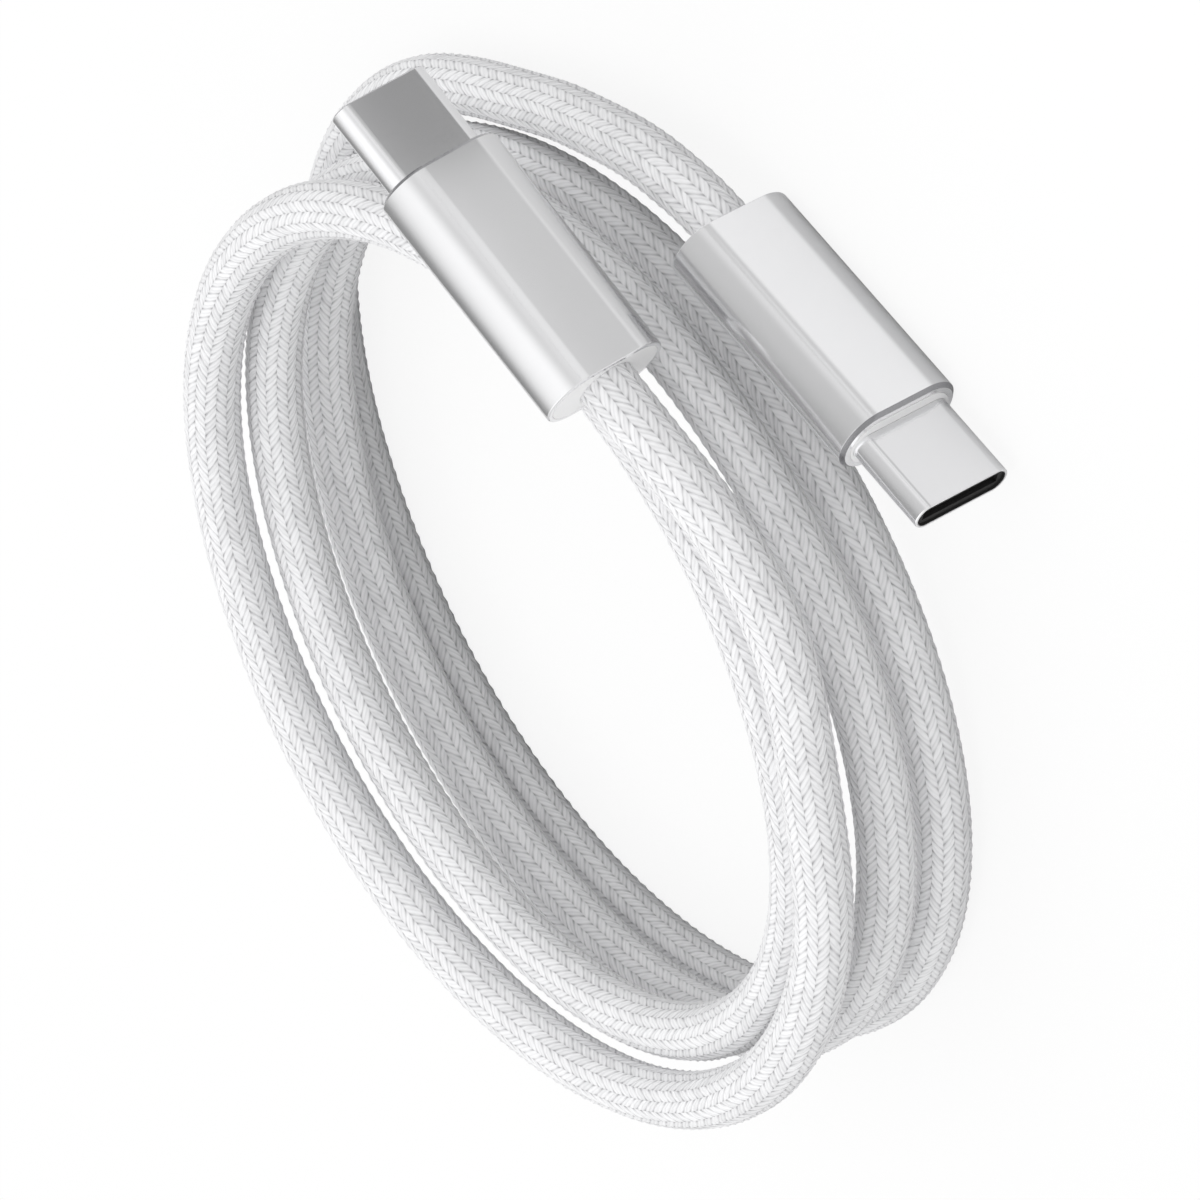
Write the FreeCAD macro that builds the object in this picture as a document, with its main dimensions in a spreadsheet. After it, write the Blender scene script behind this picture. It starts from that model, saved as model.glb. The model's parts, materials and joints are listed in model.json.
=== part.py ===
import FreeCAD, Part
import math
import os
import re
import Sketcher

# Charging cable with a plug at each end, lying as a loose coil of nearly four turns.
# Millimetres, +Z up. The origin is on the flat underside of the lowest turn, where
# the coil rests on the table. Each plug is built along its own +X axis, from the face
# where the cord enters it to its tip, standing on its narrow edge, and is then placed.

Vector = FreeCAD.Vector

doc = FreeCAD.newDocument("charging_cable")
sheet = doc.addObject("Spreadsheet::Sheet", "Sizes")

SIZES = {
    # Plug shell, the part that goes into a socket
    "plug_width": 8.25,
    "plug_thickness": 2.4,
    "plug_reach": 7.25,
    "shell_wall": 0.25,
    "shell_grip": 4.6,
    "shell_lip": 0.15,
    # Housing, its section measured from the shell outwards
    "housing_length": 19.9,
    "housing_side": 0.975,
    "housing_face": 1.68,
    "sleeve_wall": 0.4,
    "lip_wall": 0.75,
    "lip_depth": 0.6,
    "front_chamfer": 0.5,
    "rear_chamfer": 0.1,
    "collar_depth": 1.2,
    "collar_lip": 0.05,
    "cap_depth": 1.6,
    "fit_gap": 0.02,
    # Contact carrier inside the shell
    "carrier_recess": 0.2,
    "carrier_step": 0.2,
    "carrier_nose": 0.5,
    "tongue_side": 0.525,
    "tongue_thickness": 0.9,
    "tongue_depth": 5.6,
    "contact_pitch": 0.5,
    "contact_width": 0.25,
    "contact_thickness": 0.15,
    "contact_bend": 0.07,
    "contact_tail": 1.0,
    "channel_gap": 0.05,
    "latch_thickness": 0.2,
    "latch_seat": 0.15,
    "latch_end_gap": 0.2,
    "latch_arm": 0.4,
    "latch_hook": 0.35,
    "spring_thickness": 0.1,
    "spring_width": 4.8,
    "spring_length": 3.8,
    "spring_start": 1.5,
    "finger_gap": 0.4,
    # Circuit board and what is soldered to it
    "board_rear_gap": 1.0,
    "board_front_gap": 0.1,
    "board_side_gap": 0.6,
    "board_thickness": 0.8,
    "chip_length": 2.4,
    "chip_width": 2.2,
    "chip_height": 0.75,
    "small_part_length": 1.0,
    "small_part_width": 0.5,
    "small_part_height": 0.5,
    "pad_thickness": 0.05,
    "pad_length": 1.5,
    # Screen can in its mould, crimp and the stripped end of the cord
    "mould_wall": 0.26,
    "mould_front": 1.1,
    "crimp_relief": 0.78,
    "can_wall": 0.2,
    "braid_end": 3.0,
    "jacket_diameter": 3.3,
    "jacket_stub": 0.4,
    "crimp_length": 2.2,
    "crimp_wall": 0.4,
    "power_wire_diameter": 0.9,
    "signal_wire_diameter": 0.6,
    # Cord, its coil and where the plugs lie, measured from the coil's centre
    "cord_diameter": 4.4,
    "cord_sides": 8,
    "flat_depth": 0.44,
    "coil_turns": 3.75,
    "coil_start_angle": -30.0,
    "lower_lead_run": 2.4,
    "upper_lead_run": 5.9,
    "lower_plug_x": 18.0,
    "lower_plug_y": -41.1,
    "lower_plug_turn": -153.3,
    "upper_plug_x": 12.6,
    "upper_plug_y": -39.7,
    "upper_plug_rise": 2.6,
    "upper_plug_turn": 17.8,
    "upper_plug_tilt": 2.5,
}

# The loose coil at evenly spaced stations from its lower end to its upper one: radius,
# and rise of the centre line above the station that rests, in cord diameters.
COIL_RADII = (40.0, 37.5, 35.0, 35.8, 36.6, 32.4, 34.7, 35.3, 39.4)
COIL_RISES = (0.54, 0.0, 0.77, 1.16, 1.88, 2.59, 3.06, 3.49, 3.3)
REST_STATION = 1

# Free points of the two leads between coil and plug, from the coil's centre.
LOWER_LEAD = ((22.3, -38.5, 5.1), (26.7, -34.3, 4.9))
UPPER_LEAD = ((-5.3, -41.6, 16.5), (0.8, -42.3, 17.4))

for station, (radius, rise) in enumerate(zip(COIL_RADII, COIL_RISES)):
    SIZES[f"coil_radius_{station}"] = radius
    SIZES[f"coil_rise_{station}"] = rise
for row, (alias, number) in enumerate(SIZES.items(), start=1):
    sheet.set(f"A{row}", alias)
    sheet.set(f"B{row}", str(number))
    sheet.setAlias(f"B{row}", alias)
doc.recompute()


def size(alias):
    """Value of one cell of the sheet."""
    return float(sheet.get(alias))


def named(text):
    """Expression for the document: every alias in text gets the sheet's name."""
    return re.sub(r"([a-z][a-z_0-9]+)", r"Sizes.\1", text)


def value(text):
    """Number that an expression of aliases gives now."""
    return float(sheet.evalExpression(named(text)))


# Sketch and feature helpers
NODES = []


def new_body(label, several=False):
    """Empty body with its own origin, ready for sketches and features."""
    body = doc.addObject("PartDesign::Body", label)
    body.Label = label
    body.AllowCompound = several
    NODES.append(body)
    return body


def new_sketch(body, name, role, offset="0"):
    """Sketch on one of the body's own origin planes, moved along its normal."""
    sketch = body.newObject("Sketcher::SketchObject", name)
    plane = [item for item in body.Origin.OriginFeatures if item.Role == role][0]
    sketch.AttachmentSupport = (plane, [""])
    sketch.MapMode = "FlatFace"
    if offset != "0":
        sketch.setExpression("AttachmentOffset.Base.z", named(offset))
    return sketch


def bind(sketch, kind, places, text, label):
    """Dimension of a sketch that follows an expression of the sheet's cells."""
    index = sketch.addConstraint(Sketcher.Constraint(kind, *places, value(text)))
    sketch.renameConstraint(index, label)
    sketch.setExpression(f"Constraints.{label}", named(text))


def draw_slot(sketch, tag, width, thickness):
    """Upright slot about the sketch's origin: two straight sides and two round ends."""
    radius = value(thickness) / 2
    reach = value(f"( {width} - {thickness} ) / 2")
    up = Vector(0, 0, 1)
    top = sketch.addGeometry(Part.ArcOfCircle(Part.Circle(Vector(0, reach, 0), up, radius), 0, math.pi))
    low = sketch.addGeometry(Part.ArcOfCircle(Part.Circle(Vector(0, -reach, 0), up, radius), math.pi, 2 * math.pi))
    left = sketch.addGeometry(Part.LineSegment(Vector(-radius, reach, 0), Vector(-radius, -reach, 0)))
    right = sketch.addGeometry(Part.LineSegment(Vector(radius, -reach, 0), Vector(radius, reach, 0)))
    for first, second in ((top, left), (left, low), (low, right), (right, top)):
        sketch.addConstraint(Sketcher.Constraint("Tangent", first, 2, second, 1))
    sketch.addConstraint(Sketcher.Constraint("PointOnObject", top, 3, -2))
    sketch.addConstraint(Sketcher.Constraint("Symmetric", top, 3, low, 3, -1, 1))
    sketch.addConstraint(Sketcher.Constraint("Equal", top, low))
    bind(sketch, "Radius", (top,), f"( {thickness} ) / 2", f"{tag}_round")
    bind(sketch, "DistanceY", (low, 3, top, 3), f"( {width} ) - ( {thickness} )", f"{tag}_centres")


def draw_circle(sketch, tag, diameter, across="0", along="0"):
    """Circle on the sketch, its centre at a place given by expressions."""
    circle = Part.Circle(Vector(value(across), value(along), 0), Vector(0, 0, 1), value(diameter) / 2)
    index = sketch.addGeometry(circle)
    bind(sketch, "Radius", (index,), f"( {diameter} ) / 2", f"{tag}_radius")
    place_point(sketch, index, 3, across, along, tag)


def place_point(sketch, index, end, across, along, tag):
    """Hold one point of a sketch at a place given by expressions."""
    for kind, text, axis, letter in (("DistanceX", across, -2, "x"), ("DistanceY", along, -1, "y")):
        if text == "0":
            sketch.addConstraint(Sketcher.Constraint("PointOnObject", index, end, axis))
        else:
            bind(sketch, kind, (-1, 1, index, end), text, f"{tag}_{letter}")


def draw_outline(sketch, tag, points):
    """Closed outline through points given by expressions, first across and then along."""
    places = [Vector(value(across), value(along), 0) for across, along in points]
    lines = []
    for index, start in enumerate(places):
        lines.append(sketch.addGeometry(Part.LineSegment(start, places[(index + 1) % len(places)])))
    for index, line in enumerate(lines):
        after = lines[(index + 1) % len(lines)]
        sketch.addConstraint(Sketcher.Constraint("Coincident", line, 2, after, 1))
        place_point(sketch, line, 1, points[index][0], points[index][1], f"{tag}_{index}")


def draw_rectangle(sketch, tag, left, right, low, high):
    """Rectangle between four expressions."""
    draw_outline(sketch, tag, ((left, low), (right, low), (right, high), (left, high)))


def pad(body, name, sketch, length, side="One side"):
    """Pad of a sketch; Symmetric puts half of the length on each side."""
    feature = body.newObject("PartDesign::Pad", name)
    feature.Profile = sketch
    feature.SideType = side
    feature.setExpression("Length", named(length))
    doc.recompute()
    return feature


def pocket(body, name, sketch, length, forward=False):
    """Pocket of a sketch, against its normal or, if forward, along it."""
    before = body.Shape.Volume
    feature = body.newObject("PartDesign::Pocket", name)
    feature.Profile = sketch
    feature.Reversed = forward
    feature.setExpression("Length", named(length))
    doc.recompute()
    if not body.Shape.Volume < before - 1e-6:
        raise RuntimeError(f"{body.Label}: pocket {name} cuts nothing")
    return feature


def end_edges(shape, x, outer_thickness):
    """Names of the edges of a slot's outer rim that lie in the plane at x."""
    names = []
    for index, edge in enumerate(shape.Edges, start=1):
        box = edge.BoundBox
        flat = abs(box.XMin - x) < 1e-6 and abs(box.XMax - x) < 1e-6
        outside = max(abs(box.YMin), abs(box.YMax)) > outer_thickness / 2 - 1e-6
        if flat and outside:
            names.append(f"Edge{index}")
    return names


def chamfer_rim(body, name, x, thickness, amount):
    """Chamfer round the whole outer rim of a slot at x."""
    base = body.Tip
    names = end_edges(base.Shape, value(x), value(thickness))
    feature = body.newObject("PartDesign::Chamfer", name)
    feature.Base = (base, names)
    feature.setExpression("Size", named(amount))
    doc.recompute()


# Plug pieces, each along +X from the cord's entry at x = 0
HOUSING_WIDTH = "( plug_width + 2 * housing_side )"
HOUSING_THICKNESS = "( plug_thickness + 2 * housing_face )"
INNER_WIDTH = f"( {HOUSING_WIDTH} - 2 * sleeve_wall - 2 * fit_gap )"
INNER_THICKNESS = f"( {HOUSING_THICKNESS} - 2 * sleeve_wall - 2 * fit_gap )"
LIP_WIDTH = f"( {HOUSING_WIDTH} - 2 * lip_wall )"
LIP_THICKNESS = f"( {HOUSING_THICKNESS} - 2 * lip_wall )"
SHELL_REAR = "( housing_length - shell_grip )"
SHELL_FRONT = "( housing_length + plug_reach )"
CARRIER_REAR = f"( {SHELL_REAR} + carrier_step )"
CARRIER_FRONT = f"( {SHELL_FRONT} - carrier_recess )"
CHANNEL_FRONT = f"( {CARRIER_FRONT} - carrier_nose )"
MOUTH_END = f"( {CARRIER_FRONT} - tongue_depth )"
TONGUE_WIDTH = "( plug_width - 2 * shell_wall - 2 * tongue_side )"
LATCH_SPAN = f"( {TONGUE_WIDTH} + 2 * latch_seat )"
CAN_REAR = "( braid_end + crimp_length + crimp_relief + fit_gap )"
CAN_FRONT = "( housing_length - collar_depth - mould_front )"
CAN_LENGTH = f"( {CAN_FRONT} - {CAN_REAR} )"
CAN_WIDTH = f"( {INNER_WIDTH} - 2 * mould_wall - 2 * fit_gap )"
CAN_THICKNESS = f"( {INNER_THICKNESS} - 2 * mould_wall - 2 * fit_gap )"
JACKET_END = f"( {CAN_REAR} + jacket_stub )"
BOARD_REAR = f"( {CAN_REAR} + can_wall + board_rear_gap )"
BOARD_FRONT = f"( {SHELL_REAR} - board_front_gap )"
BOARD_LENGTH = f"( {BOARD_FRONT} - {BOARD_REAR} )"
BOARD_WIDTH = f"( {CAN_WIDTH} - 2 * can_wall - 2 * board_side_gap )"
CONTACT_TOP = "board_thickness / 2 + contact_thickness"
POWER_POSITIONS = (-5.5, -2.5, -1.5, -0.5, 0.5, 2.5, 5.5)
RETURN_POSITIONS = (-5.5, -2.5, 1.5, 2.5, 5.5)


def make_sleeve(prefix):
    """Aluminium sleeve: a drawn slot tube, its front lip thicker and chamfered outside."""
    body = new_body(f"{prefix}_housing_sleeve")
    outer = new_sketch(body, "SleeveSection", "YZ_Plane")
    draw_slot(outer, "outer", HOUSING_WIDTH, HOUSING_THICKNESS)
    pad(body, "SleeveBlock", outer, "housing_length")
    chamfer_rim(body, "FrontChamfer", "housing_length", HOUSING_THICKNESS, "front_chamfer")
    chamfer_rim(body, "RearChamfer", "0", HOUSING_THICKNESS, "rear_chamfer")
    bore = new_sketch(body, "BoreSection", "YZ_Plane")
    draw_slot(bore, "bore", f"{HOUSING_WIDTH} - 2 * sleeve_wall", f"{HOUSING_THICKNESS} - 2 * sleeve_wall")
    pocket(body, "Bore", bore, "housing_length - lip_depth", forward=True)
    front = new_sketch(body, "FrontSection", "YZ_Plane", "housing_length")
    draw_slot(front, "front", LIP_WIDTH, LIP_THICKNESS)
    pocket(body, "FrontOpening", front, "lip_depth")
    return body


def make_collar(prefix):
    """White front collar round the shell: a flange behind the sleeve's lip, a nose through it."""
    body = new_body(f"{prefix}_front_collar")
    flange = new_sketch(body, "FlangeSection", "YZ_Plane", "housing_length - collar_depth")
    draw_slot(flange, "outer", INNER_WIDTH, INNER_THICKNESS)
    draw_slot(flange, "shell", "plug_width + 2 * fit_gap", "plug_thickness + 2 * fit_gap")
    pad(body, "Flange", flange, "collar_depth - lip_depth - fit_gap")
    nose = new_sketch(body, "NoseSection", "YZ_Plane", "housing_length - lip_depth - fit_gap")
    draw_slot(nose, "outer", f"{LIP_WIDTH} - 2 * fit_gap", f"{LIP_THICKNESS} - 2 * fit_gap")
    draw_slot(nose, "shell", "plug_width + 2 * fit_gap", "plug_thickness + 2 * fit_gap")
    pad(body, "Nose", nose, "lip_depth + fit_gap + collar_lip")
    return body


def make_rear_cap(prefix):
    """White rear cap, flush with the sleeve, with the hole that the cord enters by."""
    body = new_body(f"{prefix}_rear_cap")
    sketch = new_sketch(body, "CapSection", "YZ_Plane")
    draw_slot(sketch, "outer", INNER_WIDTH, INNER_THICKNESS)
    draw_circle(sketch, "cord", "cord_diameter + 2 * fit_gap")
    pad(body, "CapBlock", sketch, "cap_depth")
    return body


def make_shell(prefix):
    """Steel plug shell: a thin slot tube with an eased lip, held by its rear part."""
    body = new_body(f"{prefix}_plug_shell")
    sketch = new_sketch(body, "ShellSection", "YZ_Plane", SHELL_REAR)
    draw_slot(sketch, "outer", "plug_width", "plug_thickness")
    draw_slot(sketch, "inner", "plug_width - 2 * shell_wall", "plug_thickness - 2 * shell_wall")
    pad(body, "ShellTube", sketch, "shell_grip + plug_reach")
    chamfer_rim(body, "ShellLip", SHELL_FRONT, "plug_thickness", "shell_lip")
    return body


def make_carrier(prefix):
    """Black contact carrier: mouth, channels and latch slit behind its nose, spring seats."""
    body = new_body(f"{prefix}_contact_carrier")
    width = "plug_width - 2 * shell_wall - 2 * fit_gap"
    thickness = "plug_thickness - 2 * shell_wall - 2 * fit_gap"
    section = new_sketch(body, "CarrierSection", "YZ_Plane", CARRIER_REAR)
    draw_slot(section, "outer", width, thickness)
    pad(body, "CarrierBlock", section, f"{CARRIER_FRONT} - {CARRIER_REAR}")
    mouth = new_sketch(body, "MouthSection", "YZ_Plane", CARRIER_FRONT)
    half = f"{TONGUE_WIDTH} / 2"
    deep = "tongue_thickness / 2"
    draw_rectangle(mouth, "mouth", f"-( {deep} )", deep, f"-( {half} )", half)
    pocket(body, "Mouth", mouth, "tongue_depth")
    slit = new_sketch(body, "LatchSlit", "YZ_Plane", CHANNEL_FRONT)
    half = f"{LATCH_SPAN} / 2 + channel_gap"
    deep = "latch_thickness / 2 + channel_gap"
    draw_rectangle(slit, "slit", f"-( {deep} )", deep, f"-( {half} )", half)
    pocket(body, "LatchSlitCut", slit, f"{CHANNEL_FRONT} - {CARRIER_REAR}")
    first = new_sketch(body, "FirstChannel", "YZ_Plane", CHANNEL_FRONT)
    deep = f"{CONTACT_TOP} + contact_bend"
    side = "contact_width / 2 + channel_gap / 2"
    centre = "5.5 * contact_pitch"
    draw_rectangle(first, "channel", f"-( {deep} )", deep, f"-( {centre} ) - {side}", f"-( {centre} ) + {side}")
    channel = pocket(body, "FirstChannelCut", first, f"{CHANNEL_FRONT} - {CARRIER_REAR}")
    pattern = body.newObject("PartDesign::LinearPattern", "ContactChannels")
    pattern.Originals = [channel]
    pattern.Direction = (first, ["V_Axis"])
    pattern.Occurrences = 12
    pattern.setExpression("Length", named("11 * contact_pitch"))
    body.Tip = pattern
    doc.recompute()
    for side_name, sign in (("Near", "-"), ("Far", "")):
        seat = new_sketch(body, f"{side_name}SpringSeat", "YZ_Plane", "housing_length + spring_start")
        outer = f"{sign}( plug_thickness )"
        inner = f"{sign}( plug_thickness / 2 - shell_wall - spring_thickness - fit_gap )"
        half = "spring_width / 2 + fit_gap"
        draw_rectangle(seat, "seat", inner, outer, f"-( {half} )", half)
        pocket(body, f"{side_name}SpringSeatCut", seat, "spring_length + 2 * fit_gap", forward=True)
    return body


def contact_outline(sign):
    """Side view of a sprung contact: solder tail, straight leg, bowed tip. x first, then y."""
    inner = f"{sign}( board_thickness / 2 )"
    outer = f"{sign}( {CONTACT_TOP} )"
    bowed_inner = f"{sign}( board_thickness / 2 - contact_bend )"
    bowed_outer = f"{sign}( {CONTACT_TOP} - contact_bend )"
    raised_inner = f"{sign}( board_thickness / 2 + contact_bend )"
    raised_outer = f"{sign}( {CONTACT_TOP} + contact_bend - channel_gap / 2 )"
    tail = f"{BOARD_FRONT} - contact_tail"
    start = f"{MOUTH_END} + tongue_depth * 0.5"
    bow = f"{MOUTH_END} + tongue_depth * 0.65"
    tip = f"{MOUTH_END} + tongue_depth * 0.85"
    return (
        (tail, inner),
        (start, inner),
        (bow, bowed_inner),
        (tip, raised_inner),
        (tip, raised_outer),
        (bow, bowed_outer),
        (start, outer),
        (tail, outer),
    )


def make_contacts(prefix, name, sign, positions):
    """Row of stamped contacts, each a separate spring in its own channel."""
    body = new_body(f"{prefix}_{name}", several=True)
    for index, position in enumerate(positions):
        sketch = new_sketch(body, f"ContactProfile{index}", "XY_Plane", f"{position} * contact_pitch")
        draw_outline(sketch, "contact", contact_outline(sign))
        pad(body, f"Contact{index}", sketch, "contact_width", side="Symmetric")
    return body


def make_latch(prefix):
    """Latch spring: a middle plate with two side arms whose hooks hold the socket's tongue."""
    body = new_body(f"{prefix}_latch_spring")
    outer = f"{LATCH_SPAN} / 2"
    inner = f"{LATCH_SPAN} / 2 - latch_arm"
    rear = f"{CARRIER_REAR} + latch_end_gap"
    bridge = f"{MOUTH_END} - latch_end_gap"
    hook = f"{MOUTH_END} + tongue_depth * 0.72"
    tip = f"{MOUTH_END} + tongue_depth * 0.88"
    sketch = new_sketch(body, "LatchOutline", "XZ_Plane")
    points = (
        (rear, f"-( {outer} )"),
        (tip, f"-( {outer} )"),
        (tip, f"-( {inner} )"),
        (hook, f"-( {inner} - latch_hook )"),
        (f"{hook} - latch_arm", f"-( {inner} )"),
        (bridge, f"-( {inner} )"),
        (bridge, inner),
        (f"{hook} - latch_arm", inner),
        (hook, f"{inner} - latch_hook"),
        (tip, inner),
        (tip, outer),
        (rear, outer),
    )
    draw_outline(sketch, "latch", points)
    pad(body, "LatchPlate", sketch, "latch_thickness", side="Symmetric")
    return body


def make_ground_springs(prefix):
    """Two thin ground springs, three fingers each, between the carrier and the shell."""
    body = new_body(f"{prefix}_ground_springs", several=True)
    rear = "housing_length + spring_start + fit_gap"
    front = f"{rear} + spring_length"
    root = f"{rear} + spring_length * 0.25"
    half = "spring_width / 2"
    gap_low = "spring_width / 6 - finger_gap / 2"
    gap_high = "spring_width / 6 + finger_gap / 2"
    points = (
        (rear, f"-( {half} )"),
        (front, f"-( {half} )"),
        (front, f"-( {gap_high} )"),
        (root, f"-( {gap_high} )"),
        (root, f"-( {gap_low} )"),
        (front, f"-( {gap_low} )"),
        (front, gap_low),
        (root, gap_low),
        (root, gap_high),
        (front, gap_high),
        (front, half),
        (rear, half),
    )
    middle = "plug_thickness / 2 - shell_wall - fit_gap / 2 - spring_thickness / 2"
    for side_name, sign in (("Near", "-"), ("Far", "")):
        sketch = new_sketch(body, f"{side_name}Fingers", "XZ_Plane", f"{sign}( {middle} )")
        draw_outline(sketch, "spring", points)
        pad(body, f"{side_name}Spring", sketch, "spring_thickness", side="Symmetric")
    return body


def make_board(prefix):
    """Circuit board with a locating notch in each side."""
    body = new_body(f"{prefix}_circuit_board")
    rear = BOARD_REAR
    half = f"{BOARD_WIDTH} / 2"
    notch_rear = f"{rear} + {BOARD_LENGTH} * 0.45"
    notch_front = f"{rear} + {BOARD_LENGTH} * 0.55"
    notch = f"{BOARD_WIDTH} / 2 - finger_gap"
    points = (
        (rear, f"-( {half} )"),
        (notch_rear, f"-( {half} )"),
        (notch_rear, f"-( {notch} )"),
        (notch_front, f"-( {notch} )"),
        (notch_front, f"-( {half} )"),
        (BOARD_FRONT, f"-( {half} )"),
        (BOARD_FRONT, half),
        (notch_front, half),
        (notch_front, notch),
        (notch_rear, notch),
        (notch_rear, half),
        (rear, half),
    )
    sketch = new_sketch(body, "BoardOutline", "XZ_Plane")
    draw_outline(sketch, "board", points)
    pad(body, "Board", sketch, "board_thickness", side="Symmetric")
    return body


def make_board_parts(prefix):
    """Marker chip and four small parts, soldered on the board's upper face."""
    body = new_body(f"{prefix}_board_parts", several=True)
    centre = f"( {BOARD_FRONT} + {BOARD_REAR} ) / 2"
    face = "board_thickness / 2"
    places = [("Chip", centre, "0", "chip_length", "chip_width", "chip_height")]
    for index, (forward, sideways) in enumerate(((1, -1), (1, 1), (0, -1), (0, 1))):
        along = f"{centre} + {forward} * chip_length"
        across = f"{sideways} * ( chip_width / 2 + small_part_width * 1.6 )"
        places.append(
            (f"Small{index}", along, across, "small_part_length", "small_part_width", "small_part_height")
        )
    for name, along, across, length, width, height in places:
        sketch = new_sketch(body, f"{name}Outline", "XZ_Plane", f"-( {face} )")
        draw_rectangle(
            sketch,
            "part",
            f"{along} - {length} / 2",
            f"{along} + {length} / 2",
            f"{across} - {width} / 2",
            f"{across} + {width} / 2",
        )
        feature = pad(body, name, sketch, height)
        feature.Reversed = True
    doc.recompute()
    return body


def make_pads_and_wires(prefix):
    """Solder pads on both faces of the board, and the wires that end on them."""
    pads = new_body(f"{prefix}_solder_pads", several=True)
    wires = {}
    for name in ("power_wires", "signal_wires"):
        wires[name] = new_body(f"{prefix}_{name}", several=True)
    rear = BOARD_REAR
    rows = (
        ("power_wires", 1, "power_wire_diameter", (-0.8, 0.8)),
        ("signal_wires", -1, "signal_wire_diameter", (-0.95, 0.0, 0.95)),
    )
    for name, side, diameter, positions in rows:
        for index, position in enumerate(positions):
            across = f"{position} * power_wire_diameter" if position else "0"
            middle = across if position else "0 * pad_length"
            tag = f"{'Power' if side > 0 else 'Signal'}{index}"
            sketch = new_sketch(pads, f"{tag}Pad", "XZ_Plane", f"{-side} * board_thickness / 2")
            draw_rectangle(
                sketch,
                "pad",
                rear,
                f"{rear} + pad_length",
                f"{middle} - {diameter} * 0.45",
                f"{middle} + {diameter} * 0.45",
            )
            feature = pad(pads, f"{tag}Solder", sketch, "pad_thickness")
            feature.Reversed = side > 0
            wire = new_sketch(wires[name], f"{tag}Section", "YZ_Plane", JACKET_END)
            height = f"{side} * ( board_thickness / 2 + pad_thickness + {diameter} / 2 )"
            draw_circle(wire, "wire", diameter, height, across)
            pad(wires[name], f"{tag}Wire", wire, f"{rear} + pad_length - {JACKET_END}")
    doc.recompute()


def make_can(prefix):
    """Steel screen can round the board: closed ends with a hole for cord and shell."""
    body = new_body(f"{prefix}_screen_can")
    outer = new_sketch(body, "CanSection", "YZ_Plane", CAN_REAR)
    draw_slot(outer, "outer", CAN_WIDTH, CAN_THICKNESS)
    pad(body, "CanBlock", outer, CAN_LENGTH)
    room = new_sketch(body, "RoomSection", "YZ_Plane", f"{CAN_REAR} + can_wall")
    draw_slot(room, "room", f"{CAN_WIDTH} - 2 * can_wall", f"{CAN_THICKNESS} - 2 * can_wall")
    pocket(body, "Room", room, f"{CAN_LENGTH} - 2 * can_wall", forward=True)
    hole = new_sketch(body, "CordHole", "YZ_Plane", CAN_REAR)
    draw_circle(hole, "cord", "jacket_diameter + 2 * fit_gap")
    pocket(body, "CordHoleCut", hole, "can_wall", forward=True)
    gate = new_sketch(body, "ShellGate", "YZ_Plane", CAN_FRONT)
    draw_slot(gate, "shell", "plug_width + 2 * fit_gap", "plug_thickness + 2 * fit_gap")
    pocket(body, "ShellGateCut", gate, "can_wall")
    return body


def make_mould(prefix):
    """Inner mould that fills the sleeve round the can, the crimp and the cord's end."""
    body = new_body(f"{prefix}_inner_mould")
    start = "cap_depth + fit_gap"
    end = "housing_length - collar_depth - fit_gap"
    section = new_sketch(body, "MouldSection", "YZ_Plane", start)
    draw_slot(section, "outer", INNER_WIDTH, INNER_THICKNESS)
    pad(body, "MouldBlock", section, f"{end} - ( {start} )")
    room = new_sketch(body, "CanRoom", "YZ_Plane", f"{CAN_REAR} - fit_gap")
    draw_slot(room, "can", f"{CAN_WIDTH} + 2 * fit_gap", f"{CAN_THICKNESS} + 2 * fit_gap")
    pocket(body, "CanRoomCut", room, f"{CAN_LENGTH} + 2 * fit_gap", forward=True)
    gate = new_sketch(body, "ShellGate", "YZ_Plane", end)
    draw_slot(gate, "shell", "plug_width + 2 * fit_gap", "plug_thickness + 2 * fit_gap")
    pocket(body, "ShellGateCut", gate, f"{end} - {CAN_FRONT}")
    cord = new_sketch(body, "CordSeat", "YZ_Plane", start)
    draw_circle(cord, "cord", "cord_diameter + 2 * fit_gap")
    pocket(body, "CordSeatCut", cord, f"braid_end - ( {start} ) + fit_gap", forward=True)
    crimp = new_sketch(body, "CrimpSeat", "YZ_Plane", "braid_end")
    draw_circle(crimp, "crimp", "jacket_diameter + 2 * crimp_wall + 4 * fit_gap")
    pocket(body, "CrimpSeatCut", crimp, "crimp_length + 2 * fit_gap", forward=True)
    jacket = new_sketch(body, "JacketSeat", "YZ_Plane", "braid_end")
    draw_circle(jacket, "jacket", "jacket_diameter + 2 * fit_gap")
    pocket(body, "JacketSeatCut", jacket, f"{CAN_REAR} - braid_end", forward=True)
    return body


def make_round_piece(prefix, name, start, length, diameter, bore=None):
    """Round piece on the plug's axis: the cord's end, its inner jacket or the crimp ring."""
    body = new_body(f"{prefix}_{name}")
    sketch = new_sketch(body, "RoundSection", "YZ_Plane", start)
    draw_circle(sketch, "outer", diameter)
    if bore:
        draw_circle(sketch, "bore", bore)
    pad(body, "RoundBlock", sketch, length)
    return body


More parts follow.
